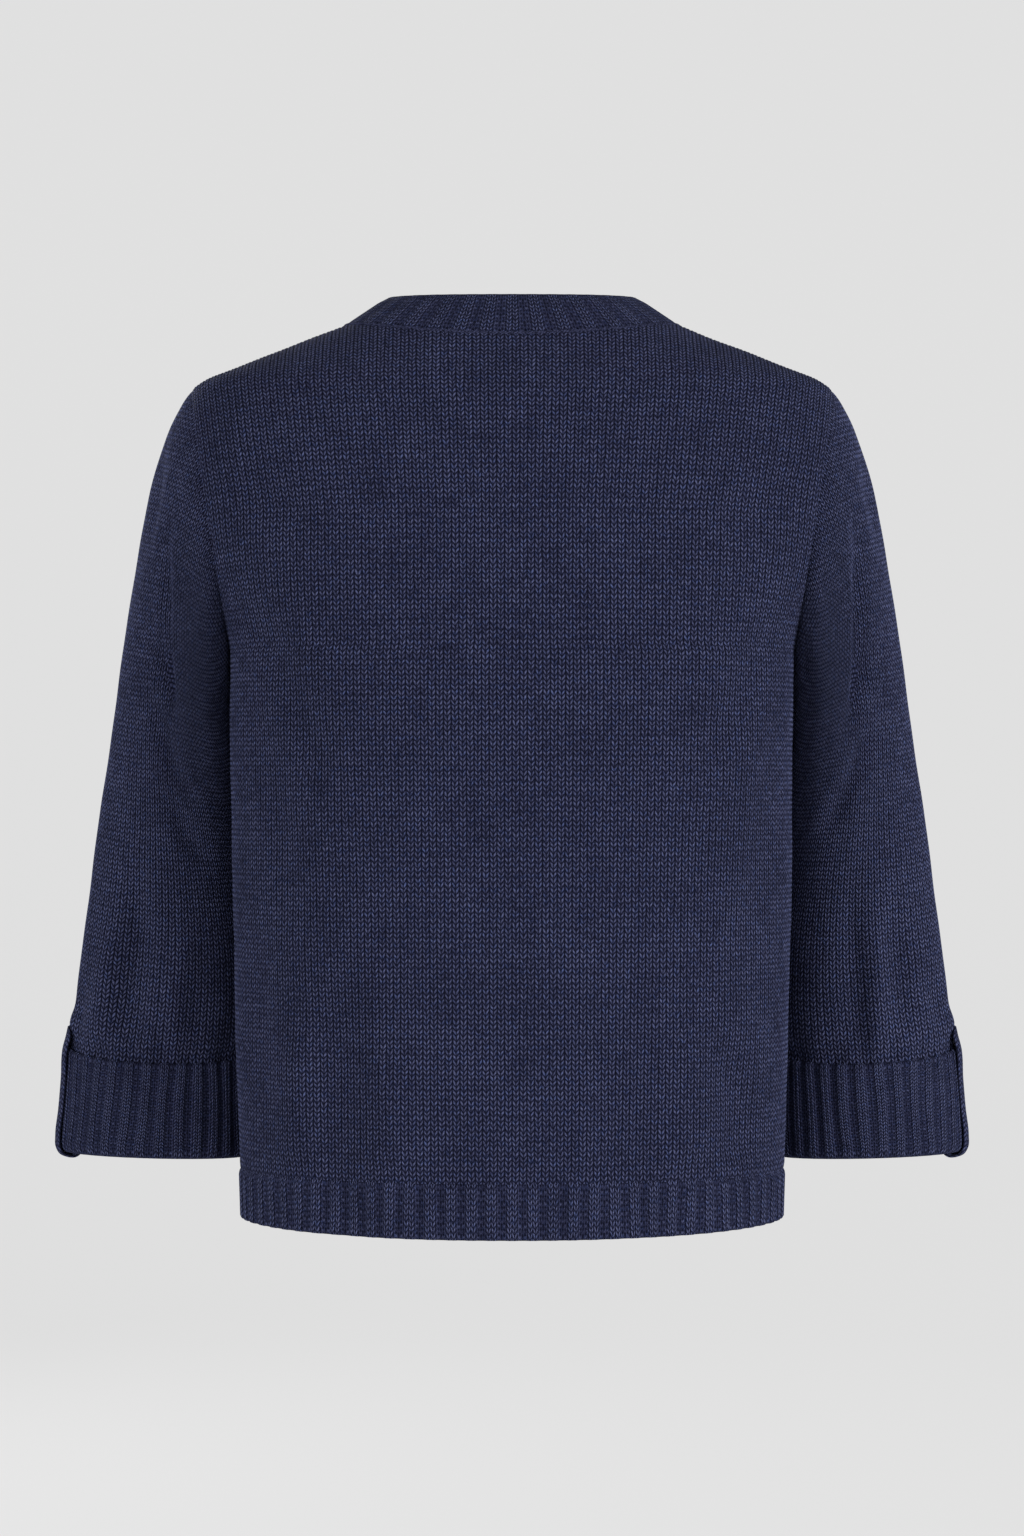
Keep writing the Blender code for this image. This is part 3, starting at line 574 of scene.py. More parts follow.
def cloth(name, outer, inner, wales, courses, materials, around=False):
    """A closed wall of cloth: fine outside, plain inside, and an edge all round.

    outer and inner are grids of points, rows by columns. A grid that goes around a tube repeats
    its first column at its end.
    """
    rows, columns = outer.shape[:2]
    picked_rows = picked_places(rows)
    picked_columns = picked_places(columns)
    picked = np.ix_(picked_rows, picked_columns)
    inside = inner[picked]
    stitches = np.stack(np.broadcast_arrays(wales, courses), axis=-1)
    points = np.concatenate((outer.reshape(-1, 3), inside.reshape(-1, 3)))
    knit = np.concatenate((stitches.reshape(-1, 2), stitches[picked].reshape(-1, 2)))
    out_at = np.arange(rows * columns).reshape(rows, columns)
    in_at = rows * columns + np.arange(inside.size // 3).reshape(inside.shape[:2])
    parts = [quads(out_at, LAYOUT_OUTSIDE), quads(in_at[::-1], LAYOUT_INSIDE)]
    first_inside = len(parts[0][0])
    last_inside = first_inside + len(parts[1][0])
    for end, low in zip((0, -1), LAYOUT_ENDS):
        parts.append(edge_strip(out_at[end], in_at[end], picked_columns, low))
    if not around:
        for end, low in zip((0, -1), LAYOUT_SIDES):
            parts.append(edge_strip(out_at[:, end], in_at[:, end], picked_rows, low))
    faces = [face for part, _ in parts for face in part]
    bake = np.concatenate([np.asarray(places) for _, places in parts])
    inside_faces = np.arange(first_inside, last_inside)
    return finish_mesh(name, points, faces, bake, knit, inside_faces, materials)


def tube(name, section, wales, courses, materials):
    """A closed tube of any cross-section round a ring: points of the section by columns."""
    count, columns = section.shape[:2]
    at = np.pad(np.arange(count * columns).reshape(count, columns), ((0, 1), (0, 1)), mode="wrap")
    faces, bake = quads(at, LAYOUT_FILL)
    knit = np.stack(np.broadcast_arrays(wales, courses), axis=-1).reshape(-1, 2)
    return finish_mesh(name, section.reshape(-1, 3), faces, bake, knit, np.array([], int), materials)


# ---------------------------------------------------------------- materials

NAVY_DARK = (0.0020, 0.0024, 0.0070, 1.0)
NAVY_MIDDLE = (0.0235, 0.0262, 0.0600, 1.0)
NAVY_LIGHT = (0.0980, 0.1090, 0.2080, 1.0)
BLUE_MIDDLE = (0.0200, 0.0262, 0.0700, 1.0)
BLUE_LIGHT = (0.0820, 0.1100, 0.2500, 1.0)
NAVY_LINK = (0.0520, 0.0580, 0.1200, 1.0)
HORN_DARK = (0.0070, 0.0065, 0.0085, 1.0)
HORN_LIGHT = (0.0300, 0.0240, 0.0260, 1.0)
SHEEN_BLUE = (0.50, 0.58, 1.0, 1.0)
WHITE = (1.0, 1.0, 1.0, 1.0)
MIDDLE_TONE = 0.42           # tone at which yarn has its middle colour
# Painted light: the sleeves' yarn is a lighter copy of the body's, to make up for the shade that
# falls on the sleeves.
SLEEVE_PAINTED_LIGHT = 1.12     # of the yarn's colour, where the body's is 1
INSIDE_BRIGHTNESS = 0.82
# Painted light: the ribbed trims' yarn is made lighter than the body's by these factors, to make up
# for the shade that falls on the cuffs, hem and neckband.
RIB_PAINTED_LIGHT = {"rib": 1.19, "neck": 1.10}
# Painted shade in the ribs' recesses: all of each recess is darkened a little, and its middle line,
# the crease between two ribs, more.
RECESS_SHADE = {"rib": 0.05, "neck": 0.03}     # how much darker all of a recess is
RECESS_SHADE_LINE = {"rib": 0.34, "neck": 0.26}      # and how much darker its middle line is


class Value:
    """A node's output. Its sums, products and so on are math nodes."""

    def __init__(self, tree, socket):
        self.tree = tree
        self.socket = socket

    def math(self, operation, first, second=0.0):
        node, result = add_node(self.tree, "ShaderNodeMath", (first, second, 0.0))
        node.operation = operation
        return result

    def __add__(self, other):
        return self.math("ADD", self, other)

    def __radd__(self, other):
        return self.math("ADD", other, self)

    def __sub__(self, other):
        return self.math("SUBTRACT", self, other)

    def __rsub__(self, other):
        return self.math("SUBTRACT", other, self)

    def __mul__(self, other):
        return self.math("MULTIPLY", self, other)

    def __truediv__(self, other):
        return self.math("DIVIDE", self, other)

    def __mod__(self, other):
        return self.math("MODULO", self, other)

    def __pow__(self, other):
        return self.math("POWER", self, other)

    def __abs__(self):
        return self.math("ABSOLUTE", self)

    def fraction(self):
        return self.math("FRACT", self)

    def floor(self):
        return self.math("FLOOR", self)

    def over_zero(self):
        return self.math("MAXIMUM", self, 0.0)

    def ranged(self, low, high, to_low=0.0, to_high=1.0):
        """A smooth step from to_low, at low, to to_high, at high."""
        node, result = add_node(self.tree, "ShaderNodeMapRange", (self, low, high, to_low, to_high))
        node.interpolation_type = "SMOOTHSTEP"
        return result

    def ramp(self, *stops):
        node, result = add_node(self.tree, "ShaderNodeValToRGB", (self,))
        colours = node.color_ramp.elements
        while len(colours) < len(stops):
            colours.new(0.5)
        for element, (place, colour) in zip(colours, stops):
            element.position = place
            element.color = colour
        return result


def put(socket, value):
    """Gives a socket a value, or links it to a node's output."""
    if isinstance(value, Value):
        value.tree.links.new(value.socket, socket)
    else:
        socket.default_value = value


def add_node(tree, kind, values, output=0):
    """A new node with its sockets' values, in order or by name, and the value that it gives."""
    node = tree.nodes.new(kind)
    for key, value in values.items() if isinstance(values, dict) else enumerate(values):
        put(node.inputs[key], value)
    return node, Value(tree, node.outputs[output])


class Nodes:
    """Short ways of making a material's nodes."""

    def __init__(self, name):
        self.material = bpy.data.materials.new(name)
        self.material.use_nodes = True
        self.tree = self.material.node_tree
        self.shader = self.tree.nodes["Principled BSDF"]

    def surface(self, values):
        for word, value in values.items():
            put(self.shader.inputs[word], value)

    def vector(self, x, y, z=0.0):
        return add_node(self.tree, "ShaderNodeCombineXYZ", (x, y, z))[1]

    def split(self, value):
        node, _ = add_node(self.tree, "ShaderNodeSeparateXYZ", (value,))
        return [Value(self.tree, socket) for socket in node.outputs]

    def noise(self, place, scale=1.0, detail=2.0, roughness=0.5):
        values = {"Vector": place, "Scale": scale, "Detail": detail, "Roughness": roughness}
        return add_node(self.tree, "ShaderNodeTexNoise", values)[1]

    def blend(self, share, first, second):
        node = self.tree.nodes.new("ShaderNodeMix")
        node.data_type = "RGBA"
        put(node.inputs["Factor"], share)
        ends = [socket for socket in node.inputs if socket.type == "RGBA"]
        for socket, value in zip(ends, (first, second)):
            put(socket, value)
        mixed, = (socket for socket in node.outputs if socket.type == "RGBA")
        return Value(self.tree, mixed)

    def coordinates(self, name):
        node, result = add_node(self.tree, "ShaderNodeUVMap", ())
        node.uv_map = name
        return result

    def place(self):
        return add_node(self.tree, "ShaderNodeTexCoord", (), "Object")[1]

    def bump(self, height, strength, distance):
        values = {"Strength": strength, "Distance": distance, "Height": height}
        self.surface({"Normal": add_node(self.tree, "ShaderNodeBump", values)[1]})


def hump(value):
    """1 in the middle of each whole step of the value and 0 at its ends."""
    return 1.0 - abs(value.fraction() * 2.0 - 1.0) ** 2.0


def knit_stitches(wales, courses):
    """Height of knit stitches: slanted legs that meet in a V. Also the run along each leg."""
    away = abs(wales.fraction() - 0.5)
    across = 1.0 - abs((away - 0.25) / 0.25) ** 2.0
    run = courses - away * 1.9
    along = hump(run)
    leg = across.over_zero() ** 0.50 * (0.10 + along * 0.90)
    between = away.ranged(0.37, 0.5)
    return leg * (1.0 - between * 0.55), run, away


def purl_stitches(wales, courses):
    """Height of purl stitches: rows of small level bumps, each row set half a stitch along."""
    shifted = wales + courses.floor() * 0.5
    across = 1.0 - (abs(shifted.fraction() - 0.5) * 2.0) ** 2.2
    along = hump(courses)
    return (0.3 + across * 0.7) * along


def yarn_material(name, kind, brightness=1.0):
    """Soft melange wool. kind is plain, inside, rib, neck or strap."""
    n = Nodes(name)
    place = n.place()
    wales, courses = n.split(n.coordinates("Knit"))[:2]
    wales = wales + (n.noise(place, 190.0) - 0.5) * 0.30
    courses = courses + (n.noise(n.vector(wales, courses, 3.7), 0.55, 1.0) - 0.5) * 0.55
    knit, run, away = knit_stitches(wales, courses)
    purl = purl_stitches(wales, courses)
    if kind in RECESS_SHADE:
        from_middle = abs(wales % 4.0 - 2.0)
        recess = from_middle.ranged(0.92, 1.18)
        recessed = knit * 0.48 + purl * 0.50
        stitch = knit * (1.0 - recess) + recessed * recess
        # Painted shade along the middle line of each recess, and over all of it.
        line = from_middle.ranged(1.45, 2.0)
        shade = RIB_PAINTED_LIGHT[kind] - recess * RECESS_SHADE[kind] - line * RECESS_SHADE_LINE[kind]
    else:
        stitch = purl if kind == "inside" else knit
        shade = brightness

    # Unevenness of the yarn: along its fibres, from stitch to stitch, down columns, along rows,
    # over a hand's width, and its fluff.
    fibre = n.noise(n.vector(wales * 9.0, run * 1.6, away * 7.0), 1.0, 3.0, 0.7)
    flecks = n.noise(n.vector(wales * 2.1, courses * 1.1), 1.0, 2.0, 0.6)
    streaks = n.noise(n.vector(wales * 1.1, courses * 0.07, 5.0), 1.0, 1.0)
    dashes = n.noise(n.vector(wales * 0.22, courses * 1.0, 9.0), 1.0, 1.0)
    cloudy = n.noise(place, 30.0, 3.0, 0.6)
    fuzz = n.noise(place, 2600.0, 2.0, 0.6)
    mixed = fibre * 0.34 + flecks * 0.40 + cloudy * 0.12
    mixed = mixed + (streaks - 0.5) * 0.08 + (dashes - 0.5) * 0.15 + fuzz * 0.14

    # Painted shade: the low parts of the stitches, between their legs and between their columns, get
    # a darker colour than the raised legs, as if shade lay in them. The shade factor scales it, and
    # that factor carries the sleeves' and ribs' painted light and the recesses' painted shade.
    painted_light_and_shade = (0.02 + stitch.over_zero() ** 1.5 * 1.15) * shade
    tone = mixed.ranged(0.30, 0.70, 0.30, 1.0) * painted_light_and_shade
    dusky = tone.ramp((0.0, NAVY_DARK), (MIDDLE_TONE, NAVY_MIDDLE), (1.0, NAVY_LIGHT))
    bluer = tone.ramp((0.0, NAVY_DARK), (MIDDLE_TONE, BLUE_MIDDLE), (1.0, BLUE_LIGHT))
    melange = n.noise(n.vector(wales * 0.9, courses * 0.8, 14.0), 1.0, 2.0, 0.7)
    n.surface({
        "Base Color": n.blend(melange.ranged(0.46, 0.74), dusky, bluer),
        "Roughness": fibre.ranged(0.2, 0.8, 0.82, 0.97),
        "Specular IOR Level": 0.04,
        "Sheen Weight": 0.04,
        "Sheen Roughness": 0.35,
        "Sheen Tint": SHEEN_BLUE})
    n.bump(stitch + fibre * 0.35 + fuzz * 0.16, 0.9, 0.0011)
    return n.material


def thread_material(name, dark, light):
    """Twisted sewing thread or linked yarn."""
    n = Nodes(name)
    twist = n.noise(n.place(), 900.0)
    n.surface({
        "Base Color": twist.ramp((0.30, dark), (0.70, light)),
        "Roughness": 0.9,
        "Specular IOR Level": 0.05})
    n.bump(twist, 0.6, 0.0004)
    return n.material


def horn_material():
    """Dark polished horn-like resin with faint streaks."""
    n = Nodes("horn_resin")
    x, y, z = n.split(n.place())
    streaks = n.noise(n.vector(x * 260.0, y * 900.0, z * 140.0), 1.0, 4.0, 0.6)
    n.surface({
        "Base Color": streaks.ramp((0.35, HORN_DARK), (0.68, HORN_LIGHT)),
        "Roughness": streaks.ranged(0.3, 0.8, 0.24, 0.40),
        "Coat Weight": 0.25,
        "Coat Roughness": 0.15})
    n.bump(streaks, 0.12, 0.0003)
    return n.material


PLAIN = yarn_material("knit_outside", "plain")
# Painted light: the sleeves get a lighter copy of the plain yarn.
SLEEVE_YARN_PAINTED_LIGHTER = yarn_material("knit_sleeve_painted_lighter", "plain", SLEEVE_PAINTED_LIGHT)
INSIDE = yarn_material("knit_inside", "inside", INSIDE_BRIGHTNESS)
RIB = yarn_material("knit_rib", "rib")
NECK_RIB = yarn_material("knit_neck_rib", "neck")
STRAP = yarn_material("knit_strap", "strap")
THREAD = thread_material("sewing_thread", NAVY_DARK, NAVY_MIDDLE)
LINKING = thread_material("linking_yarn", NAVY_DARK, NAVY_LINK)
HORN = horn_material()


# ---------------------------------------------------------------- sheets

SHEET_FILL = 0.995           # a panel's area is at most this share of its flat width by length


def grid_area(points):
    """Area of a grid of points, without the relief of its stitches."""
    diagonal_a = points[1:, 1:] - points[:-1, :-1]
    diagonal_b = points[1:, :-1] - points[:-1, 1:]
    return float(np.linalg.norm(np.cross(diagonal_a, diagonal_b), axis=-1).sum() / 2)


def declare(piece, node, width, length, area):
    """Parents a piece of cloth to the root body and hides the solid that it stands for; its area, at
    most SHEET_FILL of its flat width by length, is worked out but not kept.
    """
    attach(piece, "root")
    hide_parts(node)
    round(min(area, width * length * SHEET_FILL), 4)


def mirrored(flip):
    """Factors that put points made for the wearer's left on the right."""
    return np.array((-1.0 if flip else 1.0, 1.0, 1.0))


# ---------------------------------------------------------------- body panels

LOW_ROWS = 240               # fine levels up to the middle of the armhole
HIGH_ROWS = 160              # and over it, closer together towards the top
RISING = 1 - (1 - np.linspace(0, 1, HIGH_ROWS)) ** 4
TOP_ROUNDS = 12              # rounds in which a column's top is found
FAR = 1.0                    # stands for no edge near
CREASE_FADE = 0.02           # creases fade out over this far from an edge
INNER_CREASE = 0.6           # share of a crease's depth that the inside has


PanelGrid = namedtuple("PanelGrid", "x level wale course edge")


def section_run(level, side):
    """x round a section of the body from the midline, and the run along it."""
    angle = np.linspace(math.pi / 2, 0, 500)
    power = torso_size(level, "power")
    x = float(body_reach(level, side)) * np.cos(angle) ** (2 / power)
    y = float(body_depth(level, side)) * np.sin(angle) ** (2 / power)
    x[0] = 0.0
    return x, run_along(np.stack((x, y), axis=-1))


def panel_top(x, side):
    """Level where a panel ends above x, at the neck or on the shoulder."""
    neck = neck_seam(np.arccos(np.clip(x / NECK_HALF, 0, 1)), side)[1]
    return np.where(x < NECK_HALF, neck, shoulder_ridge(np.minimum(x, SHOULDER_HALF)))


def column_spread(level):
    """How far the columns stand apart over the middle of the armhole, as a share of there."""
    return armhole_x(np.minimum(level, SHOULDER_TIP)) / armhole_x(ARM_MIDDLE)


def rising_column(low_x, low_levels, side):
    """A column that reaches the neck or the shoulder: its x, its levels and the run up it."""
    top = SHOULDER_TIP
    for _ in range(TOP_ROUNDS):
        top = float(panel_top(low_x[-1] * column_spread(top), side))
    high_levels = ARM_MIDDLE + (top - ARM_MIDDLE) * RISING[1:]
    levels = np.concatenate((low_levels, high_levels))
    x = np.concatenate((low_x, low_x[-1] * column_spread(high_levels)))
    x[-1] = min(x[-1], SHOULDER_HALF)
    points, _ = body_surface(x, levels, side, fold_lap=False)
    return x, levels, run_along(points)


def panel_columns(side):
    """Half a panel's grid: x, level, wale number, course number and distance from its edges.

    Columns follow the columns of stitches and rows the courses. A column ends where the neck, the
    shoulder or the armhole cuts it, and then its points stay on that edge.
    """
    start_x = 0.0 if side > 0 else BAND_HALF
    low_levels = np.linspace(HEM_TOP, ARM_MIDDLE, LOW_ROWS)
    below = low_levels <= UNDERARM
    runs = [section_run(level, side) for level in low_levels]
    edge_x = np.where(below, torso_size(low_levels, "half_width"), armhole_x(low_levels))
    start_run = np.array([np.interp(start_x, x, run) for x, run in runs])
    edge_run = np.array([np.interp(at, x, run) for at, (x, run) in zip(edge_x, runs)]) - start_run
    underarm_run = np.interp(UNDERARM, low_levels, edge_run)
    wale_count = round(underarm_run / WALE)
    count = wale_count * WALE_COLUMNS
    pitch = underarm_run / wale_count
    shares = np.arange(count + 1) / count
    reach = np.where(below[:, None], edge_run[:, None], underarm_run) * shares
    alive = reach <= edge_run[:, None] + 1e-9
    low_x = np.array([np.interp(np.minimum(row, limit) + first, run, x)
                      for row, limit, first, (x, run) in zip(reach, edge_run, start_run, runs)])
    last_alive = int(np.nonzero(alive[-1])[0][-1])
    columns = [rising_column(low_x[:, j], low_levels, side) for j in range(last_alive + 1)]
    _, armhole_levels, armhole_run = columns[last_alive]
    longest = max(run[-1] for _, _, run in columns)
    steps = np.arange(math.ceil(longest / COURSE) + 1) * COURSE
    made = []
    for j, share in enumerate(shares):
        own_run = share * underarm_run
        if j <= last_alive:
            column_x, column_levels, run = columns[j]
            at = np.minimum(steps, run[-1])
            x = np.interp(at, run, column_x)
            level = np.interp(at, run, column_levels)
            side_run = np.interp(level, low_levels, edge_run)
            wale = share * wale_count
            course = at / COURSE
            to_top = run[-1] - at
            to_side = side_run - own_run
        else:
            ended = int(np.nonzero(alive[:, j])[0][-1]) + 1
            points, _ = body_surface(low_x[:ended, j], low_levels[:ended], side, fold_lap=False)
            run = run_along(points)
            cut_level = float(np.interp(own_run, edge_run[~below][::-1], low_levels[~below][::-1]))
            on_cloth = steps <= run[-1]
            level_on_edge = np.clip(np.interp(steps, armhole_run, armhole_levels),
                                    max(cut_level, UNDERARM), SHOULDER_TIP)
            level = np.where(on_cloth, np.interp(steps, run, low_levels[:ended]), level_on_edge)
            x = np.where(on_cloth, np.interp(steps, run, low_x[:ended, j]), armhole_x(level))
            side_run = np.interp(level, low_levels, edge_run)
            wale = np.where(on_cloth, share * wale_count, side_run / pitch)
            course = np.interp(level, armhole_levels, armhole_run) / COURSE
            to_top = np.where(on_cloth, FAR, 0.0)
            to_side = np.where(on_cloth, side_run - own_run, 0.0)
        below_arm = level <= UNDERARM
        if j == count:
            x[below_arm] = torso_size(level[below_arm], "half_width")
        to_side = np.where(below_arm, side_run * (1 - share), np.maximum(to_side, 0.0))
        from_band = np.full(len(steps), FAR if side > 0 else own_run)
        edge = np.minimum.reduce((to_top, to_side, steps, from_band))
        made.append(np.broadcast_arrays(x, level, wale, course, edge))
    return PanelGrid(*np.stack(made, axis=-1)), wale_count, underarm_run


def panel_points(grid, side, flip, creases):
    """Outer and inner points of a panel's grid; flip puts it on the wearer's right."""
    x = grid.x * (-1 if flip else 1)
    level = grid.level
    points, normal = body_surface(x, level, side)
    turned_in = 1 - smooth_step(0.0, SEAM_REACH, grid.edge)
    crease = crease_depth(x, level, creases)
    relief = WALE_RELIEF * wale_profile(grid.wale) * (1 - SEAM_FLATTENING * turned_in)
    lift = relief + slackness(x, level) * (1 - turned_in) - SEAM_DEPTH * turned_in
    lift = lift - crease * smooth_step(0.0, CREASE_FADE, grid.edge)
    from_tip = np.hypot(np.abs(x) - SHOULDER_HALF, level - SHOULDER_TIP)
    lift = lift + TIP_LEVEL * turned_in * bell(from_tip, TIP_REACH)
    outer = points + normal * lift[..., None]
    inner = points - normal * (WALL + INNER_CREASE * crease)[..., None]
    return outer, inner, points


def make_panel(name, grid, outer, inner, base, wales, courses, width):
    piece = cloth(name + "_knitting", outer, inner, wales, courses, (PLAIN, INSIDE))
    declare(piece, name, width, grid.course.max() * COURSE, grid_area(base))


def make_back():
    grid, wale_count, run = panel_columns(1)
    halves = [panel_points(grid, 1, flip, BACK_CREASES) for flip in (True, False)]
    halves = [(*points, wale_count + wale, grid.course)
              for points, wale in zip(halves, (-grid.wale, grid.wale))]
    outer, inner, base, wales, courses = (
        np.concatenate((right[:, :0:-1], left), axis=1) for right, left in zip(*halves))
    make_panel("back", grid, outer, inner, base, wales, courses, 2 * run)


def make_front(name, flip, creases):
    grid, _, run = panel_columns(-1)
    make_panel(name, grid, *panel_points(grid, -1, flip, creases), grid.wale, grid.course, run)


# ---------------------------------------------------------------- sleeves

PUCKER = 0.0007              # small gathers where the sleeve meets its cuff
PUCKER_REACH = 0.022
TAB_FULLNESS = 0.0027        # how far the sleeve is drawn out where its tab is sewn on
TAB_FOOT = 0.0180            # height of that place over the sleeve's lower end
TAB_FULLNESS_UP = 0.0078
TAB_FULLNESS_ROUND = 0.022
HEAD_LEVELS = (0.1, 0.2)     # runs up the sleeve over which its head begins
CAP_FULLNESS = 0.0005        # how far the sleeve's head stands up beside its seam
CAP_REACH = 0.0070
CAP_ROUND = 0.040
CUFF_DIP = 0.0018            # how far the sleeve sinks in just over its cuff
CUFF_DIP_AT = 0.0050
CUFF_DIP_WIDTH = 0.0040
UNDER_TAB = 0.024            # there is no dip this far on either side of the tab
SLEEVE_WALE = 100            # number of the column of stitches along the outer line
SLEEVE_SEAM_SHARE = 0.6      # of the depth of the body's seams
SEAM_FADE = 0.015            # unevenness fades out over this far from the seam
INNER_DIP = 0.7


def sleeve_normal(turn, share):
    """Outward direction of a sleeve's surface."""
    step = 0.004
    round_it = sleeve_surface(turn + step, share) - sleeve_surface(turn - step, share)
    low = np.clip(share - step, 0, 1)
    high = np.clip(share + step, 0, 1)
    along = sleeve_surface(turn, high) - sleeve_surface(turn, low)
    return unit(np.cross(round_it, along))


def sleeve_half(direction):
    """Half a sleeve's grid, from its outer line round to the seam under the arm.

    Its layers are the turn, the share, the run across, the run up and the distance from an edge.
    """
    shares = np.linspace(1, 0, 220)
    turns = np.linspace(0, math.pi, 260) * direction
    net = sleeve_surface(*np.broadcast_arrays(turns, shares[:, None]))
    run = run_along(net, axis=1)
    whole = run[:, -1]
    count = int(math.ceil(whole.max() / WALE * WALE_COLUMNS))
    across = np.arange(count + 1) * WALE / WALE_COLUMNS
    column_turns = np.array([np.interp(np.minimum(across, limit), row, np.abs(turns))
                             for row, limit in zip(run, whole)]) * direction
    share_grid = np.broadcast_to(shares[:, None], column_turns.shape)
    lengths = run_along(sleeve_surface(column_turns, share_grid), axis=0)
    steps = np.arange(math.ceil(lengths[-1].max() / COURSE) + 1) * COURSE
    made = []
    for run, turn, own_across in zip(lengths.T, column_turns.T, across):
        up = np.minimum(steps, run[-1])
        half_round = np.interp(up, run, whole)
        own_across = np.minimum(own_across, half_round)
        edge = np.minimum(run[-1] - up, half_round - own_across)
        turn_at = np.interp(up, run, turn)
        share_at = np.interp(up, run, shares)
        made.append((turn_at, share_at, own_across * direction, up, edge))
    return np.stack(made, axis=-1), whole.max()


def make_sleeve(name, flip, creases):
    behind, run_behind = sleeve_half(1)
    before, run_before = sleeve_half(-1)
    rows = max(behind.shape[1], before.shape[1])
    before, behind = (np.pad(half, ((0, 0), (0, rows - half.shape[1]), (0, 0)), mode="edge")
                      for half in (before, behind))
    turn, share, across, up, edge = np.concatenate((before[:, :, :0:-1], behind), axis=2)
    base = sleeve_surface(turn, share)
    normal = sleeve_normal(turn, share)
    middle = base.mean(axis=1, keepdims=True)
    normal = normal * np.sign(np.sum(normal * (base - middle), axis=-1).mean())
    wales = across / WALE + SLEEVE_WALE
    turned_in = 1 - smooth_step(0.0, SEAM_REACH, edge)
    from_seam = smooth_step(0.0, SEAM_FADE, edge)
    gathers = np.sin(across * 310 + 0.7 * np.sin(across * 90))
    pucker = PUCKER * gathers * bell(up, PUCKER_REACH)
    depth = crease_depth(across, up, creases) * from_seam
    lift = WALE_RELIEF * wale_profile(wales) * (1 - turned_in)
    lift = lift - SLEEVE_SEAM_SHARE * SEAM_DEPTH * turned_in
    lift = lift + pucker * from_seam
    at_tab = ((up - TAB_FOOT) / TAB_FULLNESS_UP) ** 2 + (across / TAB_FULLNESS_ROUND) ** 2
    lift = lift + TAB_FULLNESS * np.exp(-at_tab)
    at_tip = bell(across, TIP_REACH) * smooth_step(*HEAD_LEVELS, up)
    lift = lift + TIP_LEVEL * turned_in * at_tip
    lift = lift + CAP_FULLNESS * bell(across, CAP_ROUND) * bell(edge - CAP_REACH, CAP_REACH)
    under_tab = np.exp(-(across / UNDER_TAB) ** 4)
    dip = CUFF_DIP * bell(up - CUFF_DIP_AT, CUFF_DIP_WIDTH) * from_seam * (1 - under_tab)
    uneven = slackness(across + 0.3, up) * from_seam - depth
    lift = lift + uneven * smooth_step(0.0, CREASE_FADE, up) - dip
    outer = base + normal * lift[..., None]
    inner = base - normal * (WALL + INNER_CREASE * depth + INNER_DIP * dip)[..., None]
    mirror = mirrored(flip)
    piece = cloth(name + "_knitting", outer * mirror, inner * mirror, wales, up / COURSE,
                  (SLEEVE_YARN_PAINTED_LIGHTER, INSIDE), around=True)
    declare(piece, name, run_behind + run_before, up.max(), grid_area(base))


# ---------------------------------------------------------------- ribbed trims

RIB_WALE = 400               # number of the first column of stitches of a rib
EDGE_ROWS = (0.0003, 0.0009, 0.0020)     # distances from a free edge of the rows that round it
HEM_SINK = 0.35              # the hem lies lower than the body by this share of its ribs' height
HEM_WANDER = 0.004           # how far the hem's ribs stray from straight, as a share of its width
HEM_TUCK = 0.003             # reach of the seam at its top
HEM_GROWTH = (-0.001, 0.004)       # distances from the seam over which the ribs rise
NECK_GROWTH = (-0.001, 0.003)
NECK_TURN = 0.006            # the neckband turns from the body's slope to its own over this much
NECK_RIB_SINK = 0.30
NECK_FLATTENED = 0.90        # how much the neckband's ribs flatten towards its free edge
NECK_FLAT = (0.009, 0.001)   # distances from the free edge between which they do
NECK_STRETCH = 1.07          # the neckband's cut edge over the run along its middle
PICKED_HOLE = 0.0013         # depth of the holes where the neckband was picked up
PICKED_AT = 0.0019           # their distance from the seam, half height and half width in columns
PICKED_HEIGHT = 0.0010
PICKED_WIDTH = 0.42
BAND_LEVELS = (-0.100, -0.096, -0.092, -0.088)     # levels of the bands' rows below the neck
BAND_RIB_SHARE = 0.62        # height of the button bands' ribs, as a share of the hem's


def across_of_run(level, side, start_x, shares):
    """x at shares of the run round a section, from start_x to the side seam."""
    x, run = section_run(level, side)
    first = np.interp(start_x, x, run)
    return np.interp(first + (run[-1] - first) * shares, run, x)


def edge_rounding(from_edge, thickness=WALL):
    """How far a free edge is rounded over, at a distance from it."""
    radius = thickness * 0.5
    near = np.clip(1 - from_edge / radius, 0, 1)
    return radius * (1 - np.sqrt(np.maximum(1 - near ** 2, 0)))


def trim_rows(height, free_edge):
    """Distances up a trim's width, closer together at its free edge."""
    rows = list(np.arange(0, height, COURSE / 1.5)) + [height]
    rows += [abs(free_edge - step) for step in EDGE_ROWS]
    return np.array(sorted(set(np.round(rows, 6))))


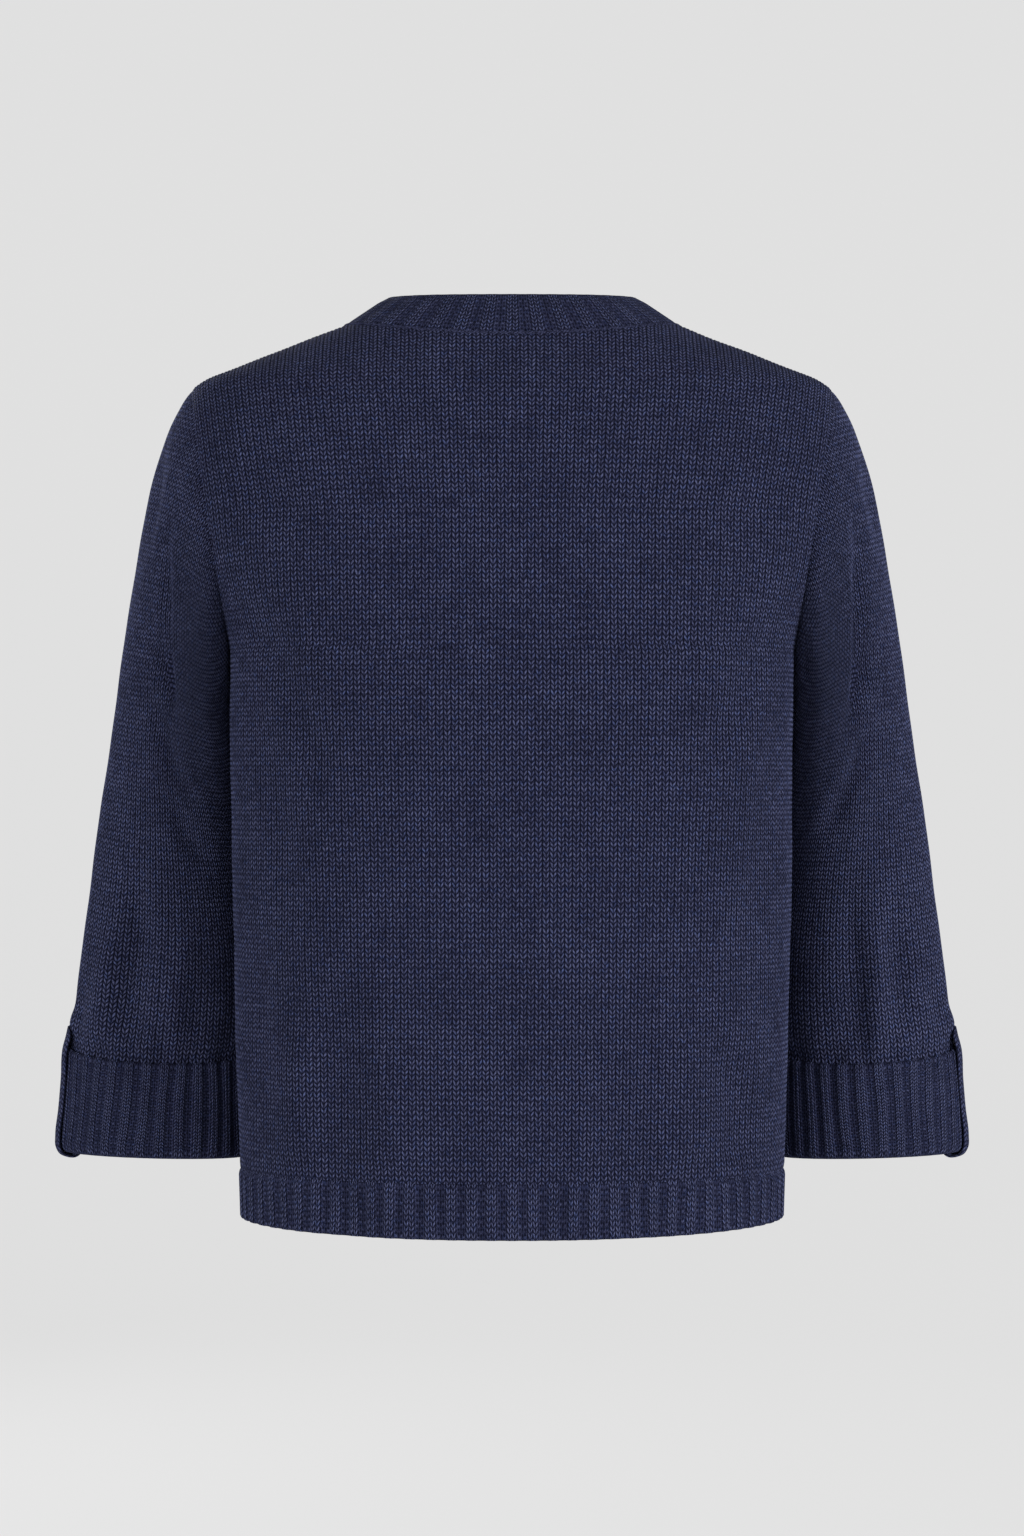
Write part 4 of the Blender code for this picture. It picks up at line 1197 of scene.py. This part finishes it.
def make_hem(name, side, ribs, signs, creases):
    """Rib below the body, on one side of the midline or on both."""
    height = HEM_TOP - HEM_BOTTOM
    both = len(signs) == 2
    first_wale = 2 if both else 0
    start_x = 0.0 if side > 0 else BAND_HALF
    ups = trim_rows(height, 0.0)[::-1]
    shares = np.linspace(0, 1, ribs * RIB_COLUMNS + 1)
    ribbed = rib_profile(shares * ribs * 4 + first_wale)
    rows = []
    for up in ups:
        share = 1 - up / height
        level = HEM_TOP + (HEM_BOTTOM - HEM_TOP) * share
        half_width = torso_size(level, "half_width")
        wander = HEM_WANDER * np.sin(shares * 23 + 1.0) * np.sin(shares * math.pi) * (share + 0.3)
        x = across_of_run(level, side, start_x, shares + wander)
        x[-1] = half_width
        swayed = level - HEM_SWAY * share * (1 - (x / half_width) ** 2)
        rounding = edge_rounding(up)
        tucked = SEAM_DEPTH * (1 - smooth_step(0.0, HEM_TUCK, height - up))
        grown = smooth_step(*HEM_GROWTH, height - up)
        lines = []
        for sign in signs:
            points, normal = body_surface(x * sign, swayed, side)
            depth = crease_depth(x * sign, swayed, creases)
            lift = RIB_HEIGHT * (ribbed * grown - HEM_SINK) - tucked - rounding - depth
            inward = WALL - rounding + depth
            outer = points + normal * lift[:, None]
            lines.append((outer, points - normal * inward[:, None], points))
        if both:
            lines = [[np.concatenate((right[:0:-1], left)) for right, left in zip(*lines)]]
        rows.append(lines[0])
    outer, inner, base = (np.array(grid) for grid in zip(*rows))
    across = np.concatenate((-shares[:0:-1], shares)) if both else shares
    wales = across * ribs * 4 + (RIB_WALE + first_wale)
    piece = cloth(name + "_rib", outer, inner, wales, (ups / COURSE)[:, None], (RIB, RIB))
    declare(piece, name, float(run_along(base[0])[-1]), height + HEM_SWAY, grid_area(base))


def neck_turns(count):
    """Turns spaced evenly along the neck seam between the button bands."""
    first = -math.acos(BAND_HALF / NECK_HALF)
    fine = np.linspace(first, math.pi - first, 1600)
    points, _ = neckband_surface(fine, 0.5)
    run = run_along(points)
    return np.interp(np.linspace(0, run[-1], count), run, fine), run[-1]


def grid_normals(grid, towards):
    """Directions square to a grid of points, on the side that a second grid of directions shows."""
    normal = unit(np.cross(np.gradient(grid, axis=1), np.gradient(grid, axis=0)))
    return normal * np.sign(np.sum(normal * towards, axis=-1, keepdims=True))


def make_neckband():
    turns, around = neck_turns(NECKBAND_RIBS * RIB_COLUMNS + 1)
    ups = trim_rows(NECKBAND_WIDTH, NECKBAND_WIDTH)
    grid = np.array([neckband_surface(turns, up / NECKBAND_WIDTH)[0] for up in ups])
    seam_normal = neckband_surface(turns, 0.0)[1]
    over_seam = smooth_step(0.0, NECK_TURN, ups)[:, None, None]
    normal = unit(grid_normals(grid, seam_normal) * over_seam + seam_normal * (1 - over_seam))
    wales = np.linspace(0, NECKBAND_RIBS * 4, len(turns)) + 2
    grown = smooth_step(*NECK_GROWTH, ups)[:, None]
    rounding = edge_rounding(NECKBAND_WIDTH - ups)[:, None]
    place = np.mod(wales, 4.0)
    recess = bell(np.minimum(place, 4 - place), PICKED_WIDTH)
    holes = PICKED_HOLE * bell(ups - PICKED_AT, PICKED_HEIGHT)[:, None] * recess
    near_top = smooth_step(*(NECKBAND_WIDTH - reach for reach in NECK_FLAT), ups)
    flattened = (1 - NECK_FLATTENED * near_top)[:, None]
    ribbed = rib_profile(wales) * grown * flattened
    lift = NECK_RIB_HEIGHT * (ribbed - NECK_RIB_SINK) - rounding - holes
    outer = grid + normal * lift[..., None]
    inner = grid - normal * (WALL - rounding)[..., None]
    piece = cloth("neckband_rib", outer, inner, wales, (ups / COURSE)[:, None], (NECK_RIB, NECK_RIB))
    declare(piece, "neckband", around * NECK_STRETCH, NECKBAND_WIDTH, grid_area(grid))


def make_band(name, lift):
    """Button band from the hem to the top of the neckband, over or under the midline."""
    x = np.linspace(-BAND_HALF, BAND_HALF, BAND_RIBS * RIB_COLUMNS + 1)
    levels = np.append(np.linspace(HEM_BOTTOM - HEM_SWAY, BAND_LEVELS[0], 150), BAND_LEVELS[1:])
    rows = [body_surface(x, level, -1, fold_lap=False)[0] for level in levels]
    turns = -np.arccos(np.clip(x / NECK_HALF, -1, 1))
    for share in np.linspace(0.0, 1.0, 14):
        rows.append(neckband_surface(turns, share, fold_lap=False)[0])
    grid = np.array(rows)
    normal = grid_normals(grid, np.array((0.0, -1.0, 0.0)))
    up = run_along(grid[:, len(x) // 2])
    wales = np.linspace(0, BAND_RIBS * 4, len(x)) + RIB_WALE
    from_side = BAND_HALF - np.abs(x)
    from_end = np.minimum(up, up[-1] - up)
    rounding = np.maximum(edge_rounding(from_side)[None, :], edge_rounding(from_end)[:, None])
    height = lift + BAND_RIB_SHARE * RIB_HEIGHT * rib_profile(wales) - rounding
    outer = grid + normal * height[..., None]
    inner = grid + normal * (lift - WALL + rounding)[..., None]
    piece = cloth(name + "_rib", outer, inner, wales, (up / COURSE)[:, None], (RIB, RIB))
    declare(piece, name, 2 * BAND_HALF, up[-1], grid_area(grid))
    return grid, normal


# ---------------------------------------------------------------- cuffs and tabs

CUFF_RIB_HEIGHT = 0.9        # of the ribs' height elsewhere
CUFF_SCALLOP = 0.0022        # how much higher a rib ends than the recess beside it
CUFF_LEAN = 0.045            # how far the ribs lean, in turns' radians
CUFF_WANDER = 0.014          # and how far they stray from straight
CUFF_SLACK = 0.0006          # how far the turned-up layer stands off in places
CUFF_SCALLOP_REACH = 0.12    # share of the cuff's height over which that evens out
CUFF_SINK = 0.0004
CUFF_TURN = 0.004            # length of the knitting in the fold itself
CUFF_STEP = 0.0021           # spacing of the points down a cuff's face
HIDDEN_STEP = 0.0120         # and between its layers and inside it
TAB_WALES = 3.0              # columns of stitches on each side of a tab's middle
TAB_STITCHED = 0.00035       # depth of the sewn line along its edges
TAB_STITCHED_AT = 0.0022     # its distance from them
TAB_STITCHED_WIDTH = 0.0005
TAB_RELIEF = 0.00022
TAB_EDGE = 0.0006            # where the tab is thinner than this it is plain
TAB_END_ROUND = 0.7          # run of its rounded end, as a share of its half width
TAB_END_LEAST = 0.09
TAB_FILL = 0.98              # its area's share of width by length

# The cuff's cross-section: share down from its top edge to its fold, rise over that level, way
# out from the solid's outer line, and share of the ribs' height.
CuffPoint = namedtuple("CuffPoint", "share rise out raised")
CUFF_SECTION = table(CuffPoint, (
    (0.00, 0.0000, 0.0016, 0.4),
    (0.00, -0.0006, 0.0022, 0.6),
    (0.00, -0.0016, 0.0025, 0.9),
    (0.00, -0.0030, 0.0026, 1.0),
    (1.00, 0.0060, 0.0026, 1.0),
    (1.00, 0.0034, 0.0024, 0.9),
    (1.00, 0.0014, 0.0018, 0.7),
    (1.00, 0.0002, 0.0008, 0.4),
    (1.00, -0.0002, -0.0004, 0.2),
    (1.00, 0.0006, -0.0016, 0.1),
    (1.00, 0.0026, -0.0023, 0.0),
    (1.00, 0.0060, -0.0024, 0.0),
    (CUFF_INNER_TOP, 0.0000, -0.0024, 0.0),
    (CUFF_INNER_TOP, 0.0000, -0.0002, 0.0),
    (1.00, 0.0050, -0.0002, 0.0),
    (1.00, 0.0042, 0.0001, 0.0),
    (1.00, 0.0050, 0.0004, 0.0),
    (0.00, -0.0012, 0.0006, 0.0),
    (0.00, -0.0002, 0.0010, 0.2),
))


def cuff_line(height):
    """The cuff's cross-section with points added where two of the table's are far apart."""
    rows = np.array([tuple(point) for point in CUFF_SECTION])
    line = []
    for here, there in zip(rows, np.roll(rows, -1, axis=0)):
        reach = abs((there[0] - here[0]) * height) + abs(there[1] - here[1])
        step = CUFF_STEP if here[3] > 0.5 and there[3] > 0.5 else HIDDEN_STEP
        count = max(1, int(round(reach / step)))
        line += [here + (there - here) * share for share in np.arange(count) / count]
    return np.array(line)


def make_cuff(name, flip, phase):
    height = CUFF_TOP.level - CUFF_FOLD.level
    line = cuff_line(height)
    columns = CUFF_RIBS * RIB_COLUMNS
    turn = np.linspace(0, 2 * math.pi, columns, endpoint=False)
    wales = np.arange(columns) / RIB_COLUMNS * 4
    ribbed = rib_profile(wales)
    wave = ribbed * RIB_HEIGHT
    rows = []
    for share, rise, out, raised in line:
        bowed = math.sin(math.pi * share)
        lean = CUFF_LEAN * np.sin(2 * turn + phase) * (share - 0.5)
        leaning = turn + lean + CUFF_WANDER * np.sin(7 * turn + 2 * phase) * bowed
        ring = cuff_surface(leaning, share, 0.0)
        outward = cuff_surface(leaning, share, 1.0) - ring
        slack = CUFF_SLACK * np.sin(3 * turn + phase) * bowed * (out > 0.001)
        lift = out - CUFF_SINK * raised + wave * raised * CUFF_RIB_HEIGHT + slack
        row = ring + outward * lift[:, None]
        near_edge = 1 - smooth_step(0.0, CUFF_SCALLOP_REACH, share)
        row[:, 2] += rise + CUFF_SCALLOP * (ribbed - 0.5) * near_edge * raised
        rows.append(row)
    section = np.array(rows)
    down = np.abs(np.diff(line[:, 0])) * height + np.abs(np.diff(line[:, 1]))
    depth = np.append(0.0, np.cumsum(down))
    piece = tube(name + "_rib", section * mirrored(flip), wales, (depth / COURSE)[:, None], (RIB,))
    around = float(run_along(section[0])[-1])
    declare(piece, name, around, 2 * height + CUFF_TURN, 2 * around * height)


def smooth_line(points, count):
    """A smooth curve through the points, evenly spaced."""
    points = np.array([tuple(point) for point in points])
    run = run_along(points)
    at = np.linspace(0, run[-1], count)
    return np.stack([smooth_table(at, run, column) for column in points.T], axis=-1)


def make_tab(name, flip):
    line = smooth_line(TAB_LINE, 90)
    along = unit(np.gradient(line, axis=0))
    out = np.stack((-along[:, 1], along[:, 0]), axis=-1)
    run = run_along(line)
    across = np.linspace(-1, 1, 25)
    from_side = (1 - np.abs(across)) * TAB_HALF_WIDTH
    to_round = np.clip(1 - run / (TAB_HALF_WIDTH * TAB_END_ROUND), 0, 1)
    end_round = np.sqrt(np.clip(1 - to_round ** 2, TAB_END_LEAST, 1))
    from_end = np.minimum(run, run[-1] - run)
    rounding = np.maximum(edge_rounding(from_side, TAB_THICKNESS)[None, :],
                          edge_rounding(from_end, TAB_THICKNESS)[:, None])
    wales = across * TAB_WALES + 100
    stitched = TAB_STITCHED * bell(from_side - TAB_STITCHED_AT, TAB_STITCHED_WIDTH)[None, :]
    relief = TAB_RELIEF * wale_profile(wales)[None, :]
    half = TAB_THICKNESS / 2 - rounding

    def face(offset):
        from_middle = across[None, :] * TAB_HALF_WIDTH * end_round[:, None]
        wrapped = CUFF_TOP.across * (1 - np.sqrt(1 - (from_middle / CUFF_TOP.depth) ** 2))
        x = line[:, :1] + out[:, :1] * offset - wrapped
        level = line[:, 1:] + out[:, 1:] * offset
        return np.stack((x, CUFF_FORWARD + from_middle, level), axis=-1) * mirrored(flip)

    outer = face(half + relief * (half > TAB_EDGE) - stitched)
    piece = cloth(name + "_strap", outer, face(-half), wales, (run / COURSE)[:, None], (STRAP, STRAP))
    width = 2 * TAB_HALF_WIDTH
    declare(piece, name, width, run[-1], width * run[-1] * TAB_FILL)


# ---------------------------------------------------------------- buttons and sewing

ButtonPoint = namedtuple("ButtonPoint", "radius height")
BUTTON_PROFILE = table(ButtonPoint, (
    (0.0046, 0.0019),
    (0.0055, 0.0021),
    (0.0062, 0.0026),
    (0.0069, 0.0030),
    (0.0077, 0.0030),
    (0.0084, 0.0027),
    (0.0088, 0.0022),
    (0.0090, 0.0017),
    (0.0087, 0.0010),
    (0.0080, 0.0003),
    (0.0070, 0.0000),
))
BUTTON_SIDES = 48
BUTTON_HOLE_AT = 0.0019      # distance of each hole from the button's two middle lines
BUTTON_HOLE_RADIUS = 0.0009
BAND_FACE = 0.0012           # how far the band's ribs stand over its middle surface
BUTTON_CLEAR = 0.0003
STRAND_RADIUS = 0.00026
STRAND_SHIFT = 0.00028       # the two strands of a stitch lie this far on each side of its line
STRAND_LOW = 0.0012          # levels of a strand in its hole and over the button
STRAND_HIGH = 0.0026
BUTTONHOLE_MIDDLE = 0.0030
BUTTONHOLE_HALF = 0.0098
BUTTONHOLE_RISE = 0.0011
BUTTONHOLE_THREAD = 0.00042
BUTTONHOLE_OUT = 0.0011
CHAIN_RADIUS = 0.00046
CHAIN_SWING = 0.00068        # how far the neck chain's strands swing to each side
CHAIN_SHIFT = 0.0002
CHAIN_LIFT = 0.0003
CHAIN_WAVE = 0.00022         # and how far up and down


def drill(button, x, y):
    """Cuts one hole through a button."""
    bpy.ops.mesh.primitive_cylinder_add(vertices=20, radius=BUTTON_HOLE_RADIUS, depth=0.006,
                                        location=(x, y, 0.001))
    cutter = bpy.context.object
    cut = button.modifiers.new("hole", "BOOLEAN")
    cut.operation = "DIFFERENCE"
    cut.object = cutter
    drilled = made_mesh(button)
    button.modifiers.clear()
    button.data = drilled
    bpy.data.objects.remove(cutter)


def made_mesh(thing):
    """The mesh that an object's curve or modifiers give."""
    return bpy.data.meshes.new_from_object(thing.evaluated_get(bpy.context.evaluated_depsgraph_get()))


def turned_button(name):
    """A button lying flat, its seat at the origin, with four sunk holes."""
    mesh = bpy.data.meshes.new(name)
    shell = bmesh.new()
    angles = np.arange(BUTTON_SIDES) * 2 * math.pi / BUTTON_SIDES
    rings = [[shell.verts.new((point.radius * math.cos(a), point.radius * math.sin(a), point.height))
              for a in angles] for point in BUTTON_PROFILE]
    for upper, lower in zip(rings[:-1], rings[1:]):
        for i in range(BUTTON_SIDES):
            k = (i + 1) % BUTTON_SIDES
            shell.faces.new((upper[i], lower[i], lower[k], upper[k]))
    shell.faces.new(rings[0])
    shell.faces.new(rings[-1][::-1])
    bmesh.ops.recalc_face_normals(shell, faces=shell.faces)
    shell.to_mesh(mesh)
    shell.free()
    mesh.materials.append(HORN)
    button = smooth_object(name, mesh)
    for x in (-BUTTON_HOLE_AT, BUTTON_HOLE_AT):
        for y in (-BUTTON_HOLE_AT, BUTTON_HOLE_AT):
            drill(button, x, y)
    return button


def rope(name, lines, radius, material, closed=False):
    """Lines of yarn as one mesh: each is a list of points."""
    curve = bpy.data.curves.new(name, "CURVE")
    curve.dimensions = "3D"
    curve.bevel_depth = radius
    curve.bevel_resolution = 2
    curve.resolution_u = 2
    curve.use_fill_caps = True
    for line in lines:
        spline = curve.splines.new("POLY")
        spline.points.add(len(line) - 1)
        for point, place in zip(spline.points, line):
            point.co = (*place, 1.0)
        spline.use_cyclic_u = closed
    holder = add_object(name + "_line", curve)
    mesh = made_mesh(holder)
    bpy.data.objects.remove(holder)
    mesh.materials.clear()
    mesh.materials.append(material)
    mesh.shade_smooth()
    return add_object(name, mesh)


def sew_on(piece):
    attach(piece, "root")


def thread_cross():
    """The strands that hold a button: two stitches of two strands, from hole to hole."""
    run = np.linspace(0, 1, 7)
    at = BUTTON_HOLE_AT
    z = STRAND_LOW + (STRAND_HIGH - STRAND_LOW) * np.sin(math.pi * run) ** 0.35
    strands = []
    for start, end in (((-at, -at), (at, at)), ((-at, at), (at, -at))):
        for shift in (-STRAND_SHIFT, STRAND_SHIFT):
            x = start[0] + (end[0] - start[0]) * run + shift
            y = start[1] + (end[1] - start[1]) * run - shift
            strands.append(np.stack((x, y, z), axis=-1))
    return strands


def make_buttons(grid, normal):
    middle = grid.shape[1] // 2
    line, facing = grid[:, middle], normal[:, middle]
    out = LAP_OVER + BAND_FACE + BUTTON_CLEAR
    for number, level in enumerate(BUTTON_LEVELS, start=1):
        node = "button_%d" % number
        y = np.interp(level, line[:, 2], line[:, 1])
        tilt = math.asin(np.interp(level, line[:, 2], facing[:, 2]))
        button = turned_button(node + "_horn")
        thread = rope(node + "_thread", thread_cross(), STRAND_RADIUS, THREAD)
        for piece in (button, thread):
            piece.location = (0.0, y - out * math.cos(tilt), level + out * math.sin(tilt))
            piece.rotation_euler = (math.pi / 2 - tilt, 0.0, 0.0)
            sew_on(piece)
        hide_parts(node)


def make_buttonholes(grid, normal):
    """Worked edges of the buttonholes, which reach out from under the buttons."""
    x_line = grid[0, :, 0]
    angle = np.linspace(0, 2 * math.pi, 40, endpoint=False)
    x = BUTTONHOLE_MIDDLE + BUTTONHOLE_HALF * np.cos(angle)
    rise = BUTTONHOLE_RISE * np.sin(angle)
    out = LAP_OVER + BUTTONHOLE_OUT
    lines = []
    for level in BUTTON_LEVELS:
        row = int(np.argmin(np.abs(grid[:, grid.shape[1] // 2, 2] - level)))
        y = np.interp(x, x_line, grid[row, :, 1])
        tilt = float(np.interp(0.0, x_line, normal[row, :, 2]))
        lines.append(np.stack((x, y - out * math.cos(math.asin(tilt)) + rise * tilt,
                               level + rise + out * tilt), axis=-1))
    sew_on(rope("buttonhole_edges", lines, BUTTONHOLE_THREAD, THREAD, closed=True))


def make_neck_chain():
    """The linked line along the foot of the neckband: two strands that twine like a chain."""
    turns, _ = neck_turns(901)
    base, normal = neck_ring(turns)
    across = unit(np.cross(normal, unit(np.gradient(base, axis=0))))
    run = run_along(base)
    lines = []
    for phase in (0.0, math.pi):
        angle = run / WALE * 2 * math.pi + phase
        lift = CHAIN_LIFT + CHAIN_WAVE * np.cos(angle)
        swing = CHAIN_SWING * np.sin(angle) - CHAIN_SHIFT
        lines.append(base + normal * lift[:, None] + across * swing[:, None])
    sew_on(rope("neck_chain", lines, CHAIN_RADIUS, LINKING))


# ---------------------------------------------------------------- camera, light and stage

CAMERA_DISTANCE = 2.5
CAMERA_LEVEL = -0.273
METRES_PER_PIXEL = 0.00062
IMAGE_HEIGHT = 1536
SENSOR = 36.0
FLOOR = -1.05
STAGE_RADIUS = 4.6
STAGE_BEND = 1.6
STAGE_HEIGHT = 3.4
STAGE_SIDES = 96
STAGE_GLOW = 0.668           # light that the pale stage gives off, as a lit studio sweep does
WORLD_LIGHT = 0.45
PALE = (0.10, 0.10, 0.10, 1.0)

Lamp = namedtuple("Lamp", "name place aim size power")
LAMPS = table(Lamp, (
    ("key", (-2.4, 1.6, 0.05), (0.0, 0.0, -0.34), 1.3, 61.0),
    ("fill", (2.1, 2.0, -0.55), (0.0, 0.0, -0.34), 1.6, 34.0),
    ("top", (0.0, 0.6, 2.0), (0.0, 0.0, -0.20), 1.6, 2.0),
    ("front", (1.2, -2.2, 0.5), (0.0, 0.0, -0.28), 1.6, 32.0),
))


def make_camera():
    camera = bpy.data.cameras.new("camera")
    camera.sensor_fit = "VERTICAL"
    camera.sensor_height = SENSOR
    camera.lens = SENSOR * CAMERA_DISTANCE / (METRES_PER_PIXEL * IMAGE_HEIGHT)
    camera.clip_start = 0.05
    camera.clip_end = 50
    holder = add_object("camera", camera)
    holder.location = (0.0, CAMERA_DISTANCE, CAMERA_LEVEL)
    holder.rotation_euler = (math.pi / 2, 0.0, math.pi)
    bpy.context.scene.camera = holder


def make_lights():
    for lamp in LAMPS:
        light = bpy.data.lights.new(lamp.name, "AREA")
        light.shape = "DISK"
        light.size = lamp.size
        light.energy = lamp.power
        holder = add_object(lamp.name, light)
        holder.location = lamp.place
        x, y, z = np.array(lamp.aim) - np.array(lamp.place)
        holder.rotation_euler = (math.atan2(math.hypot(x, y), -z), 0.0, math.atan2(-x, y))
    world = bpy.data.worlds.new("world")
    world.use_nodes = True
    background = world.node_tree.nodes["Background"]
    background.inputs["Color"].default_value = WHITE
    background.inputs["Strength"].default_value = WORLD_LIGHT
    bpy.context.scene.world = world
    bpy.context.scene.view_settings.view_transform = "Standard"


def make_floor():
    """A pale round floor that bends up into a wall, so that no edge of it shows."""
    bend = np.linspace(0, math.pi / 2, 14)
    bent = STAGE_RADIUS - STAGE_BEND + STAGE_BEND * np.sin(bend)
    radii = np.concatenate(((0.001,), bent, (STAGE_RADIUS,)))
    levels = np.concatenate(((0.0,), STAGE_BEND * (1 - np.cos(bend)), (STAGE_HEIGHT,))) + FLOOR
    profile = bpy.data.meshes.new("floor")
    edges = [(i, i + 1) for i in range(len(radii) - 1)]
    profile.from_pydata([(r, 0, z) for r, z in zip(radii, levels)], edges, [])
    floor = add_object("floor", profile)
    turned = floor.modifiers.new("Turned", "SCREW")
    turned.steps = STAGE_SIDES
    turned.render_steps = STAGE_SIDES
    n = Nodes("pale_floor")
    n.surface({
        "Base Color": PALE,
        "Roughness": 0.9,
        "Specular IOR Level": 0.0,
        "Emission Color": WHITE,
        "Emission Strength": STAGE_GLOW})
    profile.materials.append(n.material)


# ---------------------------------------------------------------- the whole scene

make_camera()
make_lights()
make_floor()
make_back()
make_front("front_left", False, FRONT_LEFT_CREASES)
make_front("front_right", True, FRONT_RIGHT_CREASES)
make_sleeve("sleeve_left", False, SLEEVE_LEFT_CREASES)
make_sleeve("sleeve_right", True, SLEEVE_RIGHT_CREASES)
make_hem("hem_back", 1, HEM_RIBS_BACK // 2, (-1, 1), BACK_CREASES)
make_hem("hem_front_left", -1, HEM_RIBS_FRONT, (1,), FRONT_LEFT_CREASES)
make_hem("hem_front_right", -1, HEM_RIBS_FRONT, (-1,), FRONT_RIGHT_CREASES)
make_neckband()
make_band("band_left", LAP_UNDER)
outer_band = make_band("band_right", LAP_OVER)
make_buttons(*outer_band)
make_buttonholes(*outer_band)
make_neck_chain()
for word, flip, phase in (("left", False, 2.2), ("right", True, 0.6)):
    make_cuff("cuff_" + word, flip, phase)
    make_tab("tab_" + word, flip)
